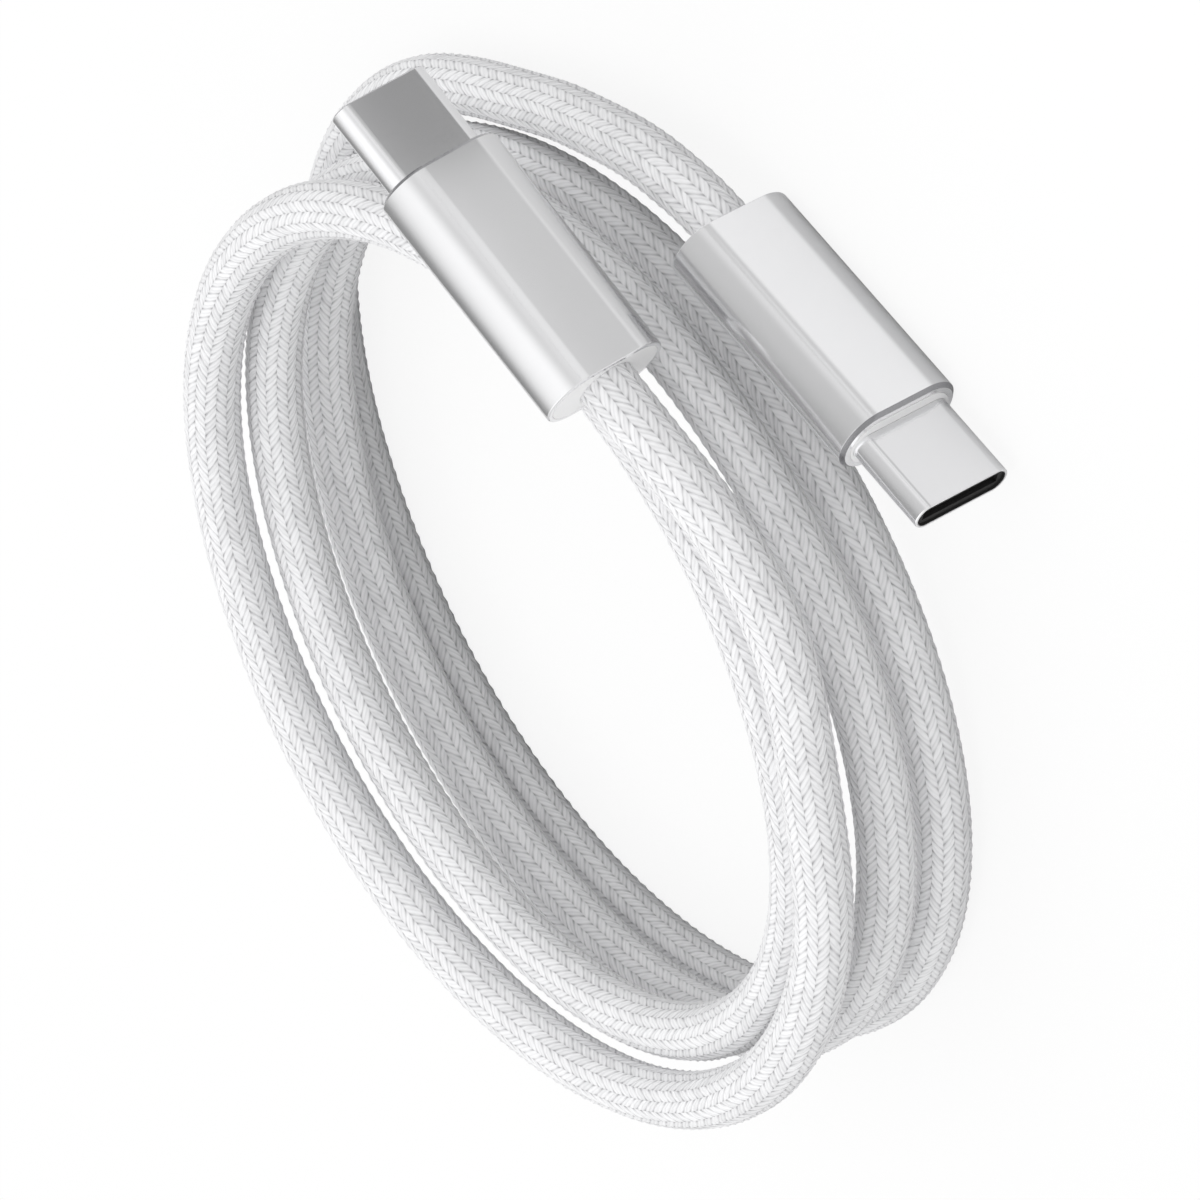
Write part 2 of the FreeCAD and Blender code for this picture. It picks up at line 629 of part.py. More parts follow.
def make_plug(prefix, placement):
    """All pieces of one plug, built along +X and then moved to their place."""
    first = len(NODES)
    make_shell(prefix)
    make_carrier(prefix)
    make_contacts(prefix, "power_contacts", "", POWER_POSITIONS)
    make_contacts(prefix, "return_contacts", "-", RETURN_POSITIONS)
    make_latch(prefix)
    make_ground_springs(prefix)
    make_board(prefix)
    make_board_parts(prefix)
    make_pads_and_wires(prefix)
    make_can(prefix)
    make_mould(prefix)
    make_sleeve(prefix)
    make_collar(prefix)
    make_rear_cap(prefix)
    make_round_piece(prefix, "cord_end", "0", "braid_end", "cord_diameter")
    make_round_piece(prefix, "inner_jacket", "braid_end", f"{JACKET_END} - braid_end", "jacket_diameter")
    make_round_piece(
        prefix,
        "crimp_ring",
        "braid_end + fit_gap",
        "crimp_length",
        "jacket_diameter + 2 * crimp_wall + 2 * fit_gap",
        "jacket_diameter + 2 * fit_gap",
    )
    for body in NODES[first:]:
        body.Placement = placement


# The coil's centre line
STATIONS = len(COIL_RADII) - 1
SECTION_REACH = size("cord_diameter") / 2 * math.cos(math.pi / size("cord_sides"))
REST_HEIGHT = SECTION_REACH - size("flat_depth")


def eased(numbers, position):
    """Smooth curve through evenly spaced numbers, read at a position between stations."""
    index = min(max(int(position), 0), STATIONS - 1)
    part = position - index

    def slope(at):
        low = max(at - 1, 0)
        high = min(at + 1, STATIONS)
        return (numbers[high] - numbers[low]) / (high - low)

    rise = 3 * part**2 - 2 * part**3
    start_pull = part**3 - 2 * part**2 + part
    end_pull = part**3 - part**2
    start, end = numbers[index], numbers[index + 1]
    return start + (end - start) * rise + slope(index) * start_pull + slope(index + 1) * end_pull


def round_coil(turns):
    """Point of the coil's centre line after so many turns, from the coil's own centre."""
    angle = math.radians(size("coil_start_angle") + 360 * turns)
    position = turns / size("coil_turns") * STATIONS
    radii = [size(f"coil_radius_{station}") for station in range(STATIONS + 1)]
    rises = [size(f"coil_rise_{station}") for station in range(STATIONS + 1)]
    radius = eased(radii, position)
    height = REST_HEIGHT + size("cord_diameter") * eased(rises, position)
    return Vector(radius * math.cos(angle), radius * math.sin(angle), height)


def coil_heading(turns):
    """Direction of the coil's centre line after so many turns."""
    step = 0.0005
    after = round_coil(min(turns + step, size("coil_turns")))
    before = round_coil(max(turns - step, 0))
    return (after - before).normalize()


def tangent_arc(start, corner, end):
    """Arc from start to end, tangent there to the lines that meet at corner."""
    middle = (start + end) * 0.5
    half = (end - start).Length / 2
    height = (corner - middle).Length
    turn = 2 * math.atan2(height, half)
    crown = middle + (corner - middle) * (half * math.tan(turn / 4) / height)
    return Part.Arc(start, crown, end)


def biarc(start, start_heading, end, end_heading):
    """Two tangent arcs that join two points and leave each in its own direction."""
    chord = end - start
    both = start_heading + end_heading
    a = 2 * (start_heading.dot(end_heading) - 1)
    b = -2 * chord.dot(both)
    c = chord.dot(chord)
    reach = (-b - math.sqrt(b * b - 4 * a * c)) / (2 * a)
    first_corner = start + start_heading * reach
    last_corner = end - end_heading * reach
    joint = (first_corner + last_corner) * 0.5
    return [tangent_arc(start, first_corner, joint), tangent_arc(joint, last_corner, end)]


def section_at(point, heading):
    """Regular outline of the cord, square to its heading, one flat facing down."""
    sides = int(size("cord_sides"))
    radius = size("cord_diameter") / 2
    across = heading.cross(Vector(0, 0, 1)).normalize()
    up = across.cross(heading)
    corners = []
    for index in range(sides):
        angle = 2 * math.pi * (index + 0.5) / sides - math.pi / 2
        corners.append(point + across * (radius * math.cos(angle)) + up * (radius * math.sin(angle)))
    return Part.makePolygon(corners + [corners[0]])


def sweep(curves, start, heading):
    """Solid of the cord's section along joined runs and arcs."""
    path = Part.Wire([curve.toShape() for curve in curves])
    shell = Part.BRepOffsetAPI.MakePipeShell(path)
    shell.add(section_at(start, heading))
    shell.build()
    shell.makeSolid()
    return shell.shape(), path


def lead_curves(points):
    """Straight runs joined by tangent arcs, and the arcs' radii."""
    curves = []
    radii = []
    start = points[0]
    for before, corner, after in zip(points, points[1:], points[2:]):
        into = (corner - before).normalize()
        out = (after - corner).normalize()
        half_turn = into.getAngle(out) / 2
        shorter = min((corner - before).Length, (after - corner).Length)
        radius = 0.45 * shorter / math.tan(half_turn)
        cut = radius * math.tan(half_turn)
        arc_start = corner - into * cut
        arc_end = corner + out * cut
        curves.append(Part.LineSegment(start, arc_start))
        curves.append(tangent_arc(arc_start, corner, arc_end))
        radii.append(radius)
        start = arc_end
    curves.append(Part.LineSegment(start, points[-1]))
    return curves, radii


def add_tube(label, curves, start, heading, trim=False):
    """Node of one stretch of cord, cut flat at the table where it lies on it."""
    solid, path = sweep(curves, start, heading)
    area = Part.Face(section_at(start, heading)).Area
    print(f"{label}: length {path.Length:.1f}, volume ratio {solid.Volume / (area * path.Length):.4f}")
    if trim:
        reach = 4 * max(COIL_RADII)
        box = Part.makeBox(reach, reach, 5, Vector(-reach / 2, -reach / 2, -5))
        solid = solid.cut(box)
    node = doc.addObject("Part::Feature", label)
    node.Label = label
    node.Shape = solid
    NODES.append(node)
    return path


def least_gap(paths, diameter):
    """Least gap between stretches of the cord that are more than a few diameters apart along it."""
    points = []
    for path in paths:
        points.extend(path.discretize(Distance=2.0))
    travelled = [0.0]
    for before, after in zip(points, points[1:]):
        travelled.append(travelled[-1] + (after - before).Length)
    least = 1e9
    for index, point in enumerate(points):
        for other in range(index + 1, len(points)):
            if travelled[other] - travelled[index] > 6 * diameter:
                least = min(least, (points[other] - point).Length)
    return least - diameter


# Places of the coil and the plugs in the part's frame
rest_point = round_coil(REST_STATION * size("coil_turns") / STATIONS)
coil_centre = Vector(-rest_point.x, -rest_point.y, 0)


def on_coil(turns):
    """Point of the coil's centre line in the part's frame."""
    return round_coil(turns) + coil_centre


lower_rotation = FreeCAD.Rotation(size("lower_plug_turn"), 0, 0)
lower_rear = coil_centre + Vector(
    size("lower_plug_x"),
    size("lower_plug_y"),
    value(HOUSING_WIDTH) / 2,
)
upper_rotation = FreeCAD.Rotation(size("upper_plug_turn"), -size("upper_plug_tilt"), 0)
upper_height = on_coil(size("coil_turns")).z + size("upper_plug_rise")
upper_rear = coil_centre + Vector(size("upper_plug_x"), size("upper_plug_y"), upper_height)
make_plug("lower", FreeCAD.Placement(lower_rear, lower_rotation))
make_plug("upper", FreeCAD.Placement(upper_rear, upper_rotation))

# Coil: straight end, a biarc for each quarter turn, straight end
turns = size("coil_turns")
straight = size("cord_diameter")
quarters = round(turns * 4)
coil_start = on_coil(0)
coil_end = on_coil(turns)
start_heading = coil_heading(0)
end_heading = coil_heading(turns)
coil_foot = coil_start - start_heading * straight
coil_head = coil_end + end_heading * straight
coil_curves = [Part.LineSegment(coil_foot, coil_start)]
for quarter in range(quarters):
    begin = turns * quarter / quarters
    finish = turns * (quarter + 1) / quarters
    coil_curves += biarc(on_coil(begin), coil_heading(begin), on_coil(finish), coil_heading(finish))
coil_curves.append(Part.LineSegment(coil_end, coil_head))
arc_radii = [curve.toShape().Curve.Radius for curve in coil_curves[1:-1]]
print("coil arc radii, least and most:", round(min(arc_radii), 1), round(max(arc_radii), 1))

# Leads: from each plug to the coil
lower_run = size("lower_lead_run")
upper_run = size("upper_lead_run")
lower_axis = lower_rotation.multVec(Vector(1, 0, 0))
upper_axis = upper_rotation.multVec(Vector(1, 0, 0))
lower_points = [lower_rear, lower_rear - lower_axis * lower_run]
lower_points += [Vector(*point) + coil_centre for point in LOWER_LEAD]
lower_points += [coil_foot - start_heading * lower_run, coil_foot]
upper_points = [coil_head, coil_head + end_heading * upper_run]
upper_points += [Vector(*point) + coil_centre for point in UPPER_LEAD]
upper_points += [upper_rear - upper_axis * upper_run, upper_rear]
lower_curves, lower_radii = lead_curves(lower_points)
upper_curves, upper_radii = lead_curves(upper_points)
print("lower lead radii:", [round(radius, 1) for radius in lower_radii])
print("upper lead radii:", [round(radius, 1) for radius in upper_radii])

paths = [
    add_tube("lower_lead", lower_curves, lower_rear, lower_axis * -1),
    add_tube("coiled_cord", coil_curves, coil_foot, start_heading, trim=True),
    add_tube("upper_lead", upper_curves, coil_head, end_heading),
]
print("cord length between the plugs:", round(sum(path.Length for path in paths), 1))
print("least gap of the cord to itself:", round(least_gap(paths, size("cord_diameter")), 2))

# Check and write
doc.recompute()
for item in doc.Objects:
    if "Invalid" in item.State or "Error" in item.State:
        raise RuntimeError(f"{item.Label} failed: {item.State}")
os.makedirs("parts", exist_ok=True)
for node in NODES:
    if node.Shape.isNull() or not node.Shape.isValid():
        raise RuntimeError(f"{node.Label} has no valid shape")
    node.Shape.exportStep(f"parts/{node.Label}.step")
print("nodes written:", len(NODES))
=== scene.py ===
"""Looks for the charging cable: braided cord, metal plugs, camera, table and soft light."""

import json
import logging
import math
from dataclasses import dataclass, field
from enum import Enum
from typing import Callable

import bpy
import numpy as np
from mathutils import Matrix, Vector


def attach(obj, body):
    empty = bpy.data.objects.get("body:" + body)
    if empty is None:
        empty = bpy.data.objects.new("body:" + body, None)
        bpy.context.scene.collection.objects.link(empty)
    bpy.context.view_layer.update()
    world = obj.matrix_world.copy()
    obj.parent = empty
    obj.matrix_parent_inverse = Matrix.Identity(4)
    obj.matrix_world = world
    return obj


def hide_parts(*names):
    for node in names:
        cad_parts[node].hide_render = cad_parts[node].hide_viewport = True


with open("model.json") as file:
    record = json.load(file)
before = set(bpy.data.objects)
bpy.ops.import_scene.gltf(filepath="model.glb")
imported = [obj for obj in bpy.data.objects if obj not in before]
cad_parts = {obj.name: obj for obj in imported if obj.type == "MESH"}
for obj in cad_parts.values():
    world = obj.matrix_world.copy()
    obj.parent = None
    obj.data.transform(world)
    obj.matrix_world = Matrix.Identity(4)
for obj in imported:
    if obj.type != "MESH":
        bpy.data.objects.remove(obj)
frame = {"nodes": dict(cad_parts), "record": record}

logging.basicConfig(level=logging.INFO, format="%(levelname)s %(message)s")
log = logging.getLogger("charging_cable")

MM = 0.001
SAME_PLACE = 1e-7
NEAR_PLACE = 1e-6
# The colour sockets of a Mix node, and the middle stretch of a noise value
MIX_FIRST, MIX_LAST, MIX_RESULT = 6, 7, 2
NOISE_RANGE = (0.2, 0.8)
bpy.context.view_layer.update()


class PlugEnd(Enum):
    """The two plugs, by where they lie."""

    LOWER = "lower"
    UPPER = "upper"


# Small tools for shaders and meshes


class NodeBuilder:
    """A node tree to which nodes are added one by one."""

    def __init__(self, tree: bpy.types.NodeTree) -> None:
        """Keep the tree.

        Args:
            tree: The tree of a material or of the world.
        """
        self.tree = tree

    def node(self, kind: str, **settings: object) -> bpy.types.Node:
        """Add a node.

        Args:
            kind: The node's type name.
            settings: Properties to set on it.

        Returns:
            The new node.
        """
        item = self.tree.nodes.new(kind)
        for key, setting in settings.items():
            setattr(item, key, setting)
        return item

    def wire(self, source: object, target: bpy.types.NodeSocket) -> None:
        """Link a socket to a socket, or set a plain number or colour.

        Args:
            source: An output socket, a number or a colour.
            target: The input socket.
        """
        if isinstance(source, bpy.types.NodeSocket):
            self.tree.links.new(source, target)
        else:
            target.default_value = source

    def math(self, operation: str, *values: object, clamp: bool = False) -> bpy.types.NodeSocket:
        """Add a Math node.

        Args:
            operation: Blender's name of the operation.
            values: Sockets or numbers for its inputs.
            clamp: Keep the result between 0 and 1.

        Returns:
            The node's output.
        """
        item = self.node("ShaderNodeMath", operation=operation, use_clamp=clamp)
        for index, entry in enumerate(values):
            self.wire(entry, item.inputs[index])
        return item.outputs[0]

    def ramp(self, value: object, low: float, high: float, start: float = 0.0, end: float = 1.0) -> object:
        """Smoothly map a stretch of values onto another.

        Args:
            value: The socket to read.
            low: Value that gives start.
            high: Value that gives end.
            start: Result at low.
            end: Result at high.

        Returns:
            The result's socket.
        """
        item = self.node("ShaderNodeMapRange", interpolation_type="SMOOTHSTEP")
        for entry, socket in zip((value, low, high, start, end), item.inputs):
            self.wire(entry, socket)
        return item.outputs[0]

    def separate(self, vector: object) -> bpy.types.NodeOutputs:
        """Split a vector into its three numbers.

        Args:
            vector: The vector's socket.

        Returns:
            The three sockets.
        """
        item = self.node("ShaderNodeSeparateXYZ")
        self.wire(vector, item.inputs[0])
        return item.outputs


class Shader(NodeBuilder):
    """A material with one Principled surface."""

    def __init__(self, name: str) -> None:
        """Make the material.

        Args:
            name: The material's name.
        """
        self.material = bpy.data.materials.new(name)
        self.material.use_nodes = True
        super().__init__(self.material.node_tree)
        self.surface = self.tree.nodes["Principled BSDF"]

    def colours(self, factor: object, first: tuple, last: tuple) -> bpy.types.NodeSocket:
        """Mix two colours.

        Args:
            factor: 0 gives the first colour and 1 the last.
            first: Red, green and blue.
            last: Red, green and blue.

        Returns:
            The mixed colour's socket.
        """
        item = self.node("ShaderNodeMix", data_type="RGBA")
        self.wire(factor, item.inputs[0])
        item.inputs[MIX_FIRST].default_value = (*first, 1.0)
        item.inputs[MIX_LAST].default_value = (*last, 1.0)
        return item.outputs[MIX_RESULT]

    def noise(self, scale: float, detail: float = 2.0) -> object:
        """Noise on the object's own coordinates.

        Args:
            scale: Noise scale per metre.
            detail: Number of octaves.

        Returns:
            The noise value's socket.
        """
        place = self.node("ShaderNodeTexCoord")
        item = self.node("ShaderNodeTexNoise")
        self.wire(place.outputs["Object"], item.inputs["Vector"])
        item.inputs["Scale"].default_value = scale
        item.inputs["Detail"].default_value = detail
        return item.outputs["Fac"]

    def bump(self, height: object, strength: float, distance: float) -> None:
        """Give the surface a relief.

        Args:
            height: Socket of the height, 0 to 1.
            strength: Share of the relief that shows.
            distance: Height of 1, in metres.
        """
        item = self.node("ShaderNodeBump")
        item.inputs["Strength"].default_value = strength
        item.inputs["Distance"].default_value = distance
        self.wire(height, item.inputs["Height"])
        self.tree.links.new(item.outputs["Normal"], self.surface.inputs["Normal"])

    def set(self, **sockets: object) -> None:
        """Set the surface's own sockets by name, with underscores for spaces."""
        for key, entry in sockets.items():
            self.wire(entry, self.surface.inputs[key.replace("_", " ")])


# Finishes


@dataclass(frozen=True)
class BraidFinish:
    """Nylon braid: plump floats in herringbone columns, read from the cord's UV map."""

    columns: int
    rows: float
    slant: float
    # light is the nylon's colour on the float crests; shade is the painted shade in the creases and corners
    light: tuple = (0.81, 0.81, 0.82)
    shade: tuple = (0.34, 0.34, 0.35)
    roughness: float = 0.65
    wobble: float = 0.45
    relief: float = 0.1 * MM
    # These depths shape the relief and also set the painted shade in the valleys, creases, borders and
    # corners
    valley_depth: float = 0.38
    crease_depth: float = 0.24
    crease_sharpness: float = 1.5
    border_depth: float = 0.1
    border_sharpness: float = 4.0
    corner_depth: float = 0.65
    thread_count: float = 7.0
    thread_change: float = 1.3
    thread_relief: float = 0.16
    thread_tone: float = 0.2
    yarn_tone: float = 0.26
    stir_scale: float = 330.0

    def material(self) -> bpy.types.Material:
        """Make the braid's material: a relief, painted shade in the floats' creases, borders and corners,
        and a tone for each yarn.

        Returns:
            The material.
        """
        shader = Shader("white_braid")
        place = shader.separate(shader.node("ShaderNodeUVMap", uv_map="Braid").outputs["UV"])
        column = shader.math("MULTIPLY", place[0], float(self.columns))
        along = shader.math("MULTIPLY", place[1], self.rows)
        stir = shader.math("SUBTRACT", shader.noise(self.stir_scale), 0.5)
        stir = shader.math("MULTIPLY", stir, self.wobble)
        along = shader.math("ADD", along, stir)
        zigzag = shader.math("PINGPONG", column, 1.0)
        lean = shader.math("MULTIPLY", shader.math("SUBTRACT", zigzag, 0.5), self.slant)
        parity = shader.math("MODULO", shader.math("FLOOR", column), 2.0)
        step = shader.math("ADD", shader.math("SUBTRACT", along, lean), shader.math("MULTIPLY", parity, 0.5))
        across = shader.math("MULTIPLY", shader.math("PINGPONG", step, 0.5), 2.0)
        inside = shader.math("MULTIPLY", shader.math("PINGPONG", column, 0.5), 2.0)
        height = self.float_relief_and_shade(shader, across, shader.math("SUBTRACT", 1.0, inside))
        threads = self.filaments(shader, step, column)
        shader.bump(shader.math("MULTIPLY_ADD", threads, self.thread_relief, height), 0.9, self.relief)
        # Painted shade: the float's height darkens the colour towards creases and corners, beside each
        # yarn's own random tone
        tone = shader.math("MULTIPLY_ADD", self.float_tone(shader, step, column), self.yarn_tone, height)
        tone = shader.math("SUBTRACT", tone, self.thread_tone)
        tone = shader.math("MULTIPLY_ADD", threads, self.thread_tone, tone, clamp=True)
        shader.set(
            Base_Color=shader.colours(tone, self.shade, self.light),
            Roughness=self.roughness,
            Sheen_Weight=0.2,
            Sheen_Roughness=0.5,
            Specular_IOR_Level=0.3,
        )
        return shader.material

    def float_relief_and_shade(self, shader: Shader, across: object, end: object) -> object:
        """Shape one float: two yarns side by side, low where it meets its neighbours. The same height sets
        the colour, so creases, borders and corners get painted shade.

        Args:
            shader: The material being made.
            across: 0 at the float's crest, 1 in the valley beside it.
            end: 0 in the column's middle, 1 at its border.

        Returns:
            The height's socket, 1 on the yarns.
        """
        yarn = shader.math("MULTIPLY", shader.math("PINGPONG", across, 0.5), 2.0)
        line = shader.math("POWER", shader.math("SUBTRACT", 1.0, yarn), self.crease_sharpness)
        depth = shader.math("MULTIPLY_ADD", across, self.valley_depth - self.crease_depth, self.crease_depth)
        border = shader.math("POWER", end, self.border_sharpness)
        corner = shader.math("POWER", shader.math("MULTIPLY", across, end), 2.0)
        height = shader.math("SUBTRACT", 1.0, shader.math("MULTIPLY", line, depth))
        height = shader.math("MULTIPLY_ADD", border, -self.border_depth, height)
        return shader.math("MULTIPLY_ADD", corner, -self.corner_depth, height, clamp=True)

    def float_tone(self, shader: Shader, step: object, column: object) -> object:
        """Give each yarn of each float its own slight tone.

        Args:
            shader: The material being made.
            step: Coordinate across the floats, whole numbers at their crests.
            column: Coordinate round the cord.

        Returns:
            The tone's socket, 0 to 1.
        """
        place = shader.node("ShaderNodeCombineXYZ")
        shader.wire(shader.math("ROUND", shader.math("MULTIPLY_ADD", step, 2.0, 0.5)), place.inputs[0])
        shader.wire(shader.math("FLOOR", column), place.inputs[1])
        chance = shader.node("ShaderNodeTexWhiteNoise", noise_dimensions="2D")
        shader.wire(place.outputs[0], chance.inputs["Vector"])
        return chance.outputs["Value"]

    def filaments(self, shader: Shader, step: object, column: object) -> object:
        """Fine filament lines that run along each float.

        Args:
            shader: The material being made.
            step: Coordinate across the floats.
            column: Coordinate round the cord.

        Returns:
            The lines' socket, 0 to 1.
        """
        place = shader.node("ShaderNodeCombineXYZ")
        shader.wire(shader.math("MULTIPLY", step, self.thread_count), place.inputs[0])
        shader.wire(shader.math("MULTIPLY", column, self.thread_change), place.inputs[1])
        lines = shader.node("ShaderNodeTexNoise")
        shader.wire(place.outputs[0], lines.inputs["Vector"])
        lines.inputs["Scale"].default_value = 1.0
        lines.inputs["Detail"].default_value = 2.0
        return lines.outputs["Fac"]


@dataclass(frozen=True)
class MetalFinish:
    """Metal with a fine grain: blasted aluminium, plated steel or gold plating."""

    name: str
    colour: tuple
    shade: tuple
    roughness: float
    grain: float
    grain_depth: float
    spread: float = 0.15
    cloud_size: float = 40.0
    # These factors scale the base colour: painted shade on faces that look down, painted highlight on faces
    # that look up
    painted_underside_shade: float = 1.0
    painted_underside_shade_slopes: tuple = (-0.2, -0.03)
    painted_upper_highlight: float = 1.0
    painted_upper_highlight_slopes: tuple = (0.1, 0.3)

    def material(self) -> bpy.types.Material:
        """Make the metal's material, with painted shade where it looks down and a painted highlight where it
        looks up.

        Returns:
            The material.
        """
        shader = Shader(self.name)
        grain = shader.noise(self.grain, 3.0)
        cloud = shader.noise(self.grain / self.cloud_size, 2.0)
        shader.bump(grain, 0.5, self.grain_depth)
        # Painted shade and painted highlight: the base colour is darker on faces that look down and lighter
        # on faces that look up
        upward = shader.separate(shader.node("ShaderNodeNewGeometry").outputs["Normal"])[2]
        dim = shader.ramp(upward, *self.painted_underside_shade_slopes, self.painted_underside_shade, 1.0)
        bright = shader.ramp(upward, *self.painted_upper_highlight_slopes, 1.0, self.painted_upper_highlight)
        dim = shader.math("MULTIPLY", dim, bright)
        smooth, rough = self.roughness * (1 - self.spread), self.roughness * (1 + self.spread)
        tint = shader.node("ShaderNodeVectorMath", operation="SCALE")
        shader.wire(shader.colours(cloud, self.shade, self.colour), tint.inputs[0])
        shader.wire(dim, tint.inputs["Scale"])
        shader.set(
            Base_Color=tint.outputs[0],
            Metallic=1.0,
            Roughness=shader.ramp(grain, *NOISE_RANGE, smooth, rough),
        )
        return shader.material


@dataclass(frozen=True)
class PlasticFinish:
    """Moulded plastic or laminate with a faint grain."""

    name: str
    colour: tuple
    shade: tuple
    roughness: float
    grain: float = 9000.0
    grain_depth: float = 0.004 * MM
    spread: float = 0.1
    cloud_size: float = 30.0

    def material(self) -> bpy.types.Material:
        """Make the plastic's material.

        Returns:
            The material.
        """
        shader = Shader(self.name)
        grain = shader.noise(self.grain, 2.0)
        shader.bump(grain, 0.5, self.grain_depth)
        smooth, rough = self.roughness * (1 - self.spread), self.roughness * (1 + self.spread)
        shader.set(
            Base_Color=shader.colours(shader.noise(self.grain / self.cloud_size), self.shade, self.colour),
            Roughness=shader.ramp(grain, *NOISE_RANGE, smooth, rough),
        )
        return shader.material


# The cord


@dataclass
class CordRoute:
    """The cord's line: lower lead, loose coil and upper lead, as on the frame."""

    diameter: float = 4.4 * MM
    turns: float = 3.75
    start_angle: float = -30.0
    radii: tuple = (40.0, 37.5, 35.0, 35.8, 36.6, 32.4, 34.7, 35.3, 39.4)
    rises: tuple = (0.54, 0.0, 0.77, 1.16, 1.88, 2.59, 3.06, 3.49, 3.3)
    sides: int = 8
    flat_depth: float = 0.44
    lower_lead: tuple = ((22.3, -38.5, 5.1), (26.7, -34.3, 4.9))
    upper_lead: tuple = ((-5.3, -41.6, 16.5), (0.8, -42.3, 17.4))
    lower_run: float = 2.4
    upper_run: float = 5.9
    sink: float = 0.03
    points_per_turn: int = 24
    line_detail: int = 24

    def eased(self, numbers: tuple, position: float) -> float:
        """Read a smooth curve through evenly spaced numbers.

        Args:
            numbers: The value at each station.
            position: Place among the stations.

        Returns:
            The value there.
        """
        last = len(numbers) - 1
        index = min(max(int(position), 0), last - 1)
        part = position - index

        def slope(at: int) -> float:
            """Return the curve's slope at a station."""
            low = max(at - 1, 0)
            high = min(at + 1, last)
            return (numbers[high] - numbers[low]) / (high - low)

        rise = 3 * part**2 - 2 * part**3
        leave = part**3 - 2 * part**2 + part
        arrive = part**3 - part**2
        start, end = numbers[index], numbers[index + 1]
        return start + (end - start) * rise + slope(index) * leave + slope(index + 1) * arrive

    def coil_point(self, turn: float, spread: float = 1.0) -> Vector:
        """Return a point of the coil, in millimetres from the coil's centre.

        Args:
            turn: How many turns from the lower end.
            spread: Factor on the radius.

        Returns:
            The point.
        """
        angle = math.radians(self.start_angle + 360 * turn)
        position = turn / self.turns * (len(self.radii) - 1)
        radius = self.eased(self.radii, position) * spread
        rest = self.diameter / MM / 2 * math.cos(math.pi / self.sides) - self.flat_depth
        height = rest + self.diameter / MM * self.eased(self.rises, position)
        return Vector((radius * math.cos(angle), radius * math.sin(angle), height))

    def coil_heading(self, turn: float) -> Vector:
        """Find the coil's direction.

        Args:
            turn: How many turns from the lower end.

        Returns:
            A unit vector along the cord.
        """
        step = 0.0005
        after = self.coil_point(min(turn + step, self.turns))
        before = self.coil_point(max(turn - step, 0.0))
        return (after - before).normalized()

    @property
    def centre(self) -> Vector:
        """The coil's centre on the table, from the origin, in millimetres."""
        rest = self.coil_point(self.turns / (len(self.radii) - 1))
        return Vector((-rest.x, -rest.y, 0.0))

    def control_points(self, lower: "PlugPlace", upper: "PlugPlace") -> list[Vector]:
        """List the route's points from the lower plug to the upper one, in metres.

        Args:
            lower: Where the lower plug lies.
            upper: Where the upper plug lies.

        Returns:
            The points in order.
        """
        step = 2 * math.pi / self.points_per_turn
        spread = 1 / (0.75 + 0.25 * math.cos(step))
        count = round(self.turns * self.points_per_turn)
        straight = self.diameter / MM
        foot = self.coil_point(0.0) - self.coil_heading(0.0) * straight
        head = self.coil_point(self.turns) + self.coil_heading(self.turns) * straight
        points = [lower.rear - self.centre, lower.rear - self.centre - lower.axis * self.lower_run]
        points += [Vector(point) for point in self.lower_lead]
        points.append(foot - self.coil_heading(0.0) * self.lower_run)
        points.append(foot)
        for index in range(1, count):
            turn = self.turns * index / count
            point = self.coil_point(turn, spread)
            point.z = max(point.z, self.diameter / MM / 2 - self.sink)
            points.append(point)
        points.append(head)
        points.append(head + self.coil_heading(self.turns) * self.upper_run)
        points += [Vector(point) for point in self.upper_lead]
        points += [upper.rear - self.centre - upper.axis * self.upper_run, upper.rear - self.centre]
        return [(point + self.centre) * MM for point in points]

    def line(self, points: list[Vector]) -> np.ndarray:
        """Read the smooth line that a NURBS spline makes of the points.

        Args:
            points: The spline's control points.

        Returns:
            The line's points, one row each.
        """
        curve = bpy.data.curves.new("cord_line", "CURVE")
        curve.dimensions = "3D"
        curve.resolution_u = self.line_detail
        spline = curve.splines.new("NURBS")
        spline.points.add(len(points) - 1)
        for place, point in zip(spline.points, points):
            place.co = (*point, 1.0)
        spline.order_u = 3
        spline.use_endpoint_u = True
        holder = bpy.data.objects.new("cord_line", curve)
        mesh = bpy.data.meshes.new_from_object(holder)
        line = np.array([vertex.co[:] for vertex in mesh.vertices])
        bpy.data.objects.remove(holder)
        bpy.data.meshes.remove(mesh)
        return line


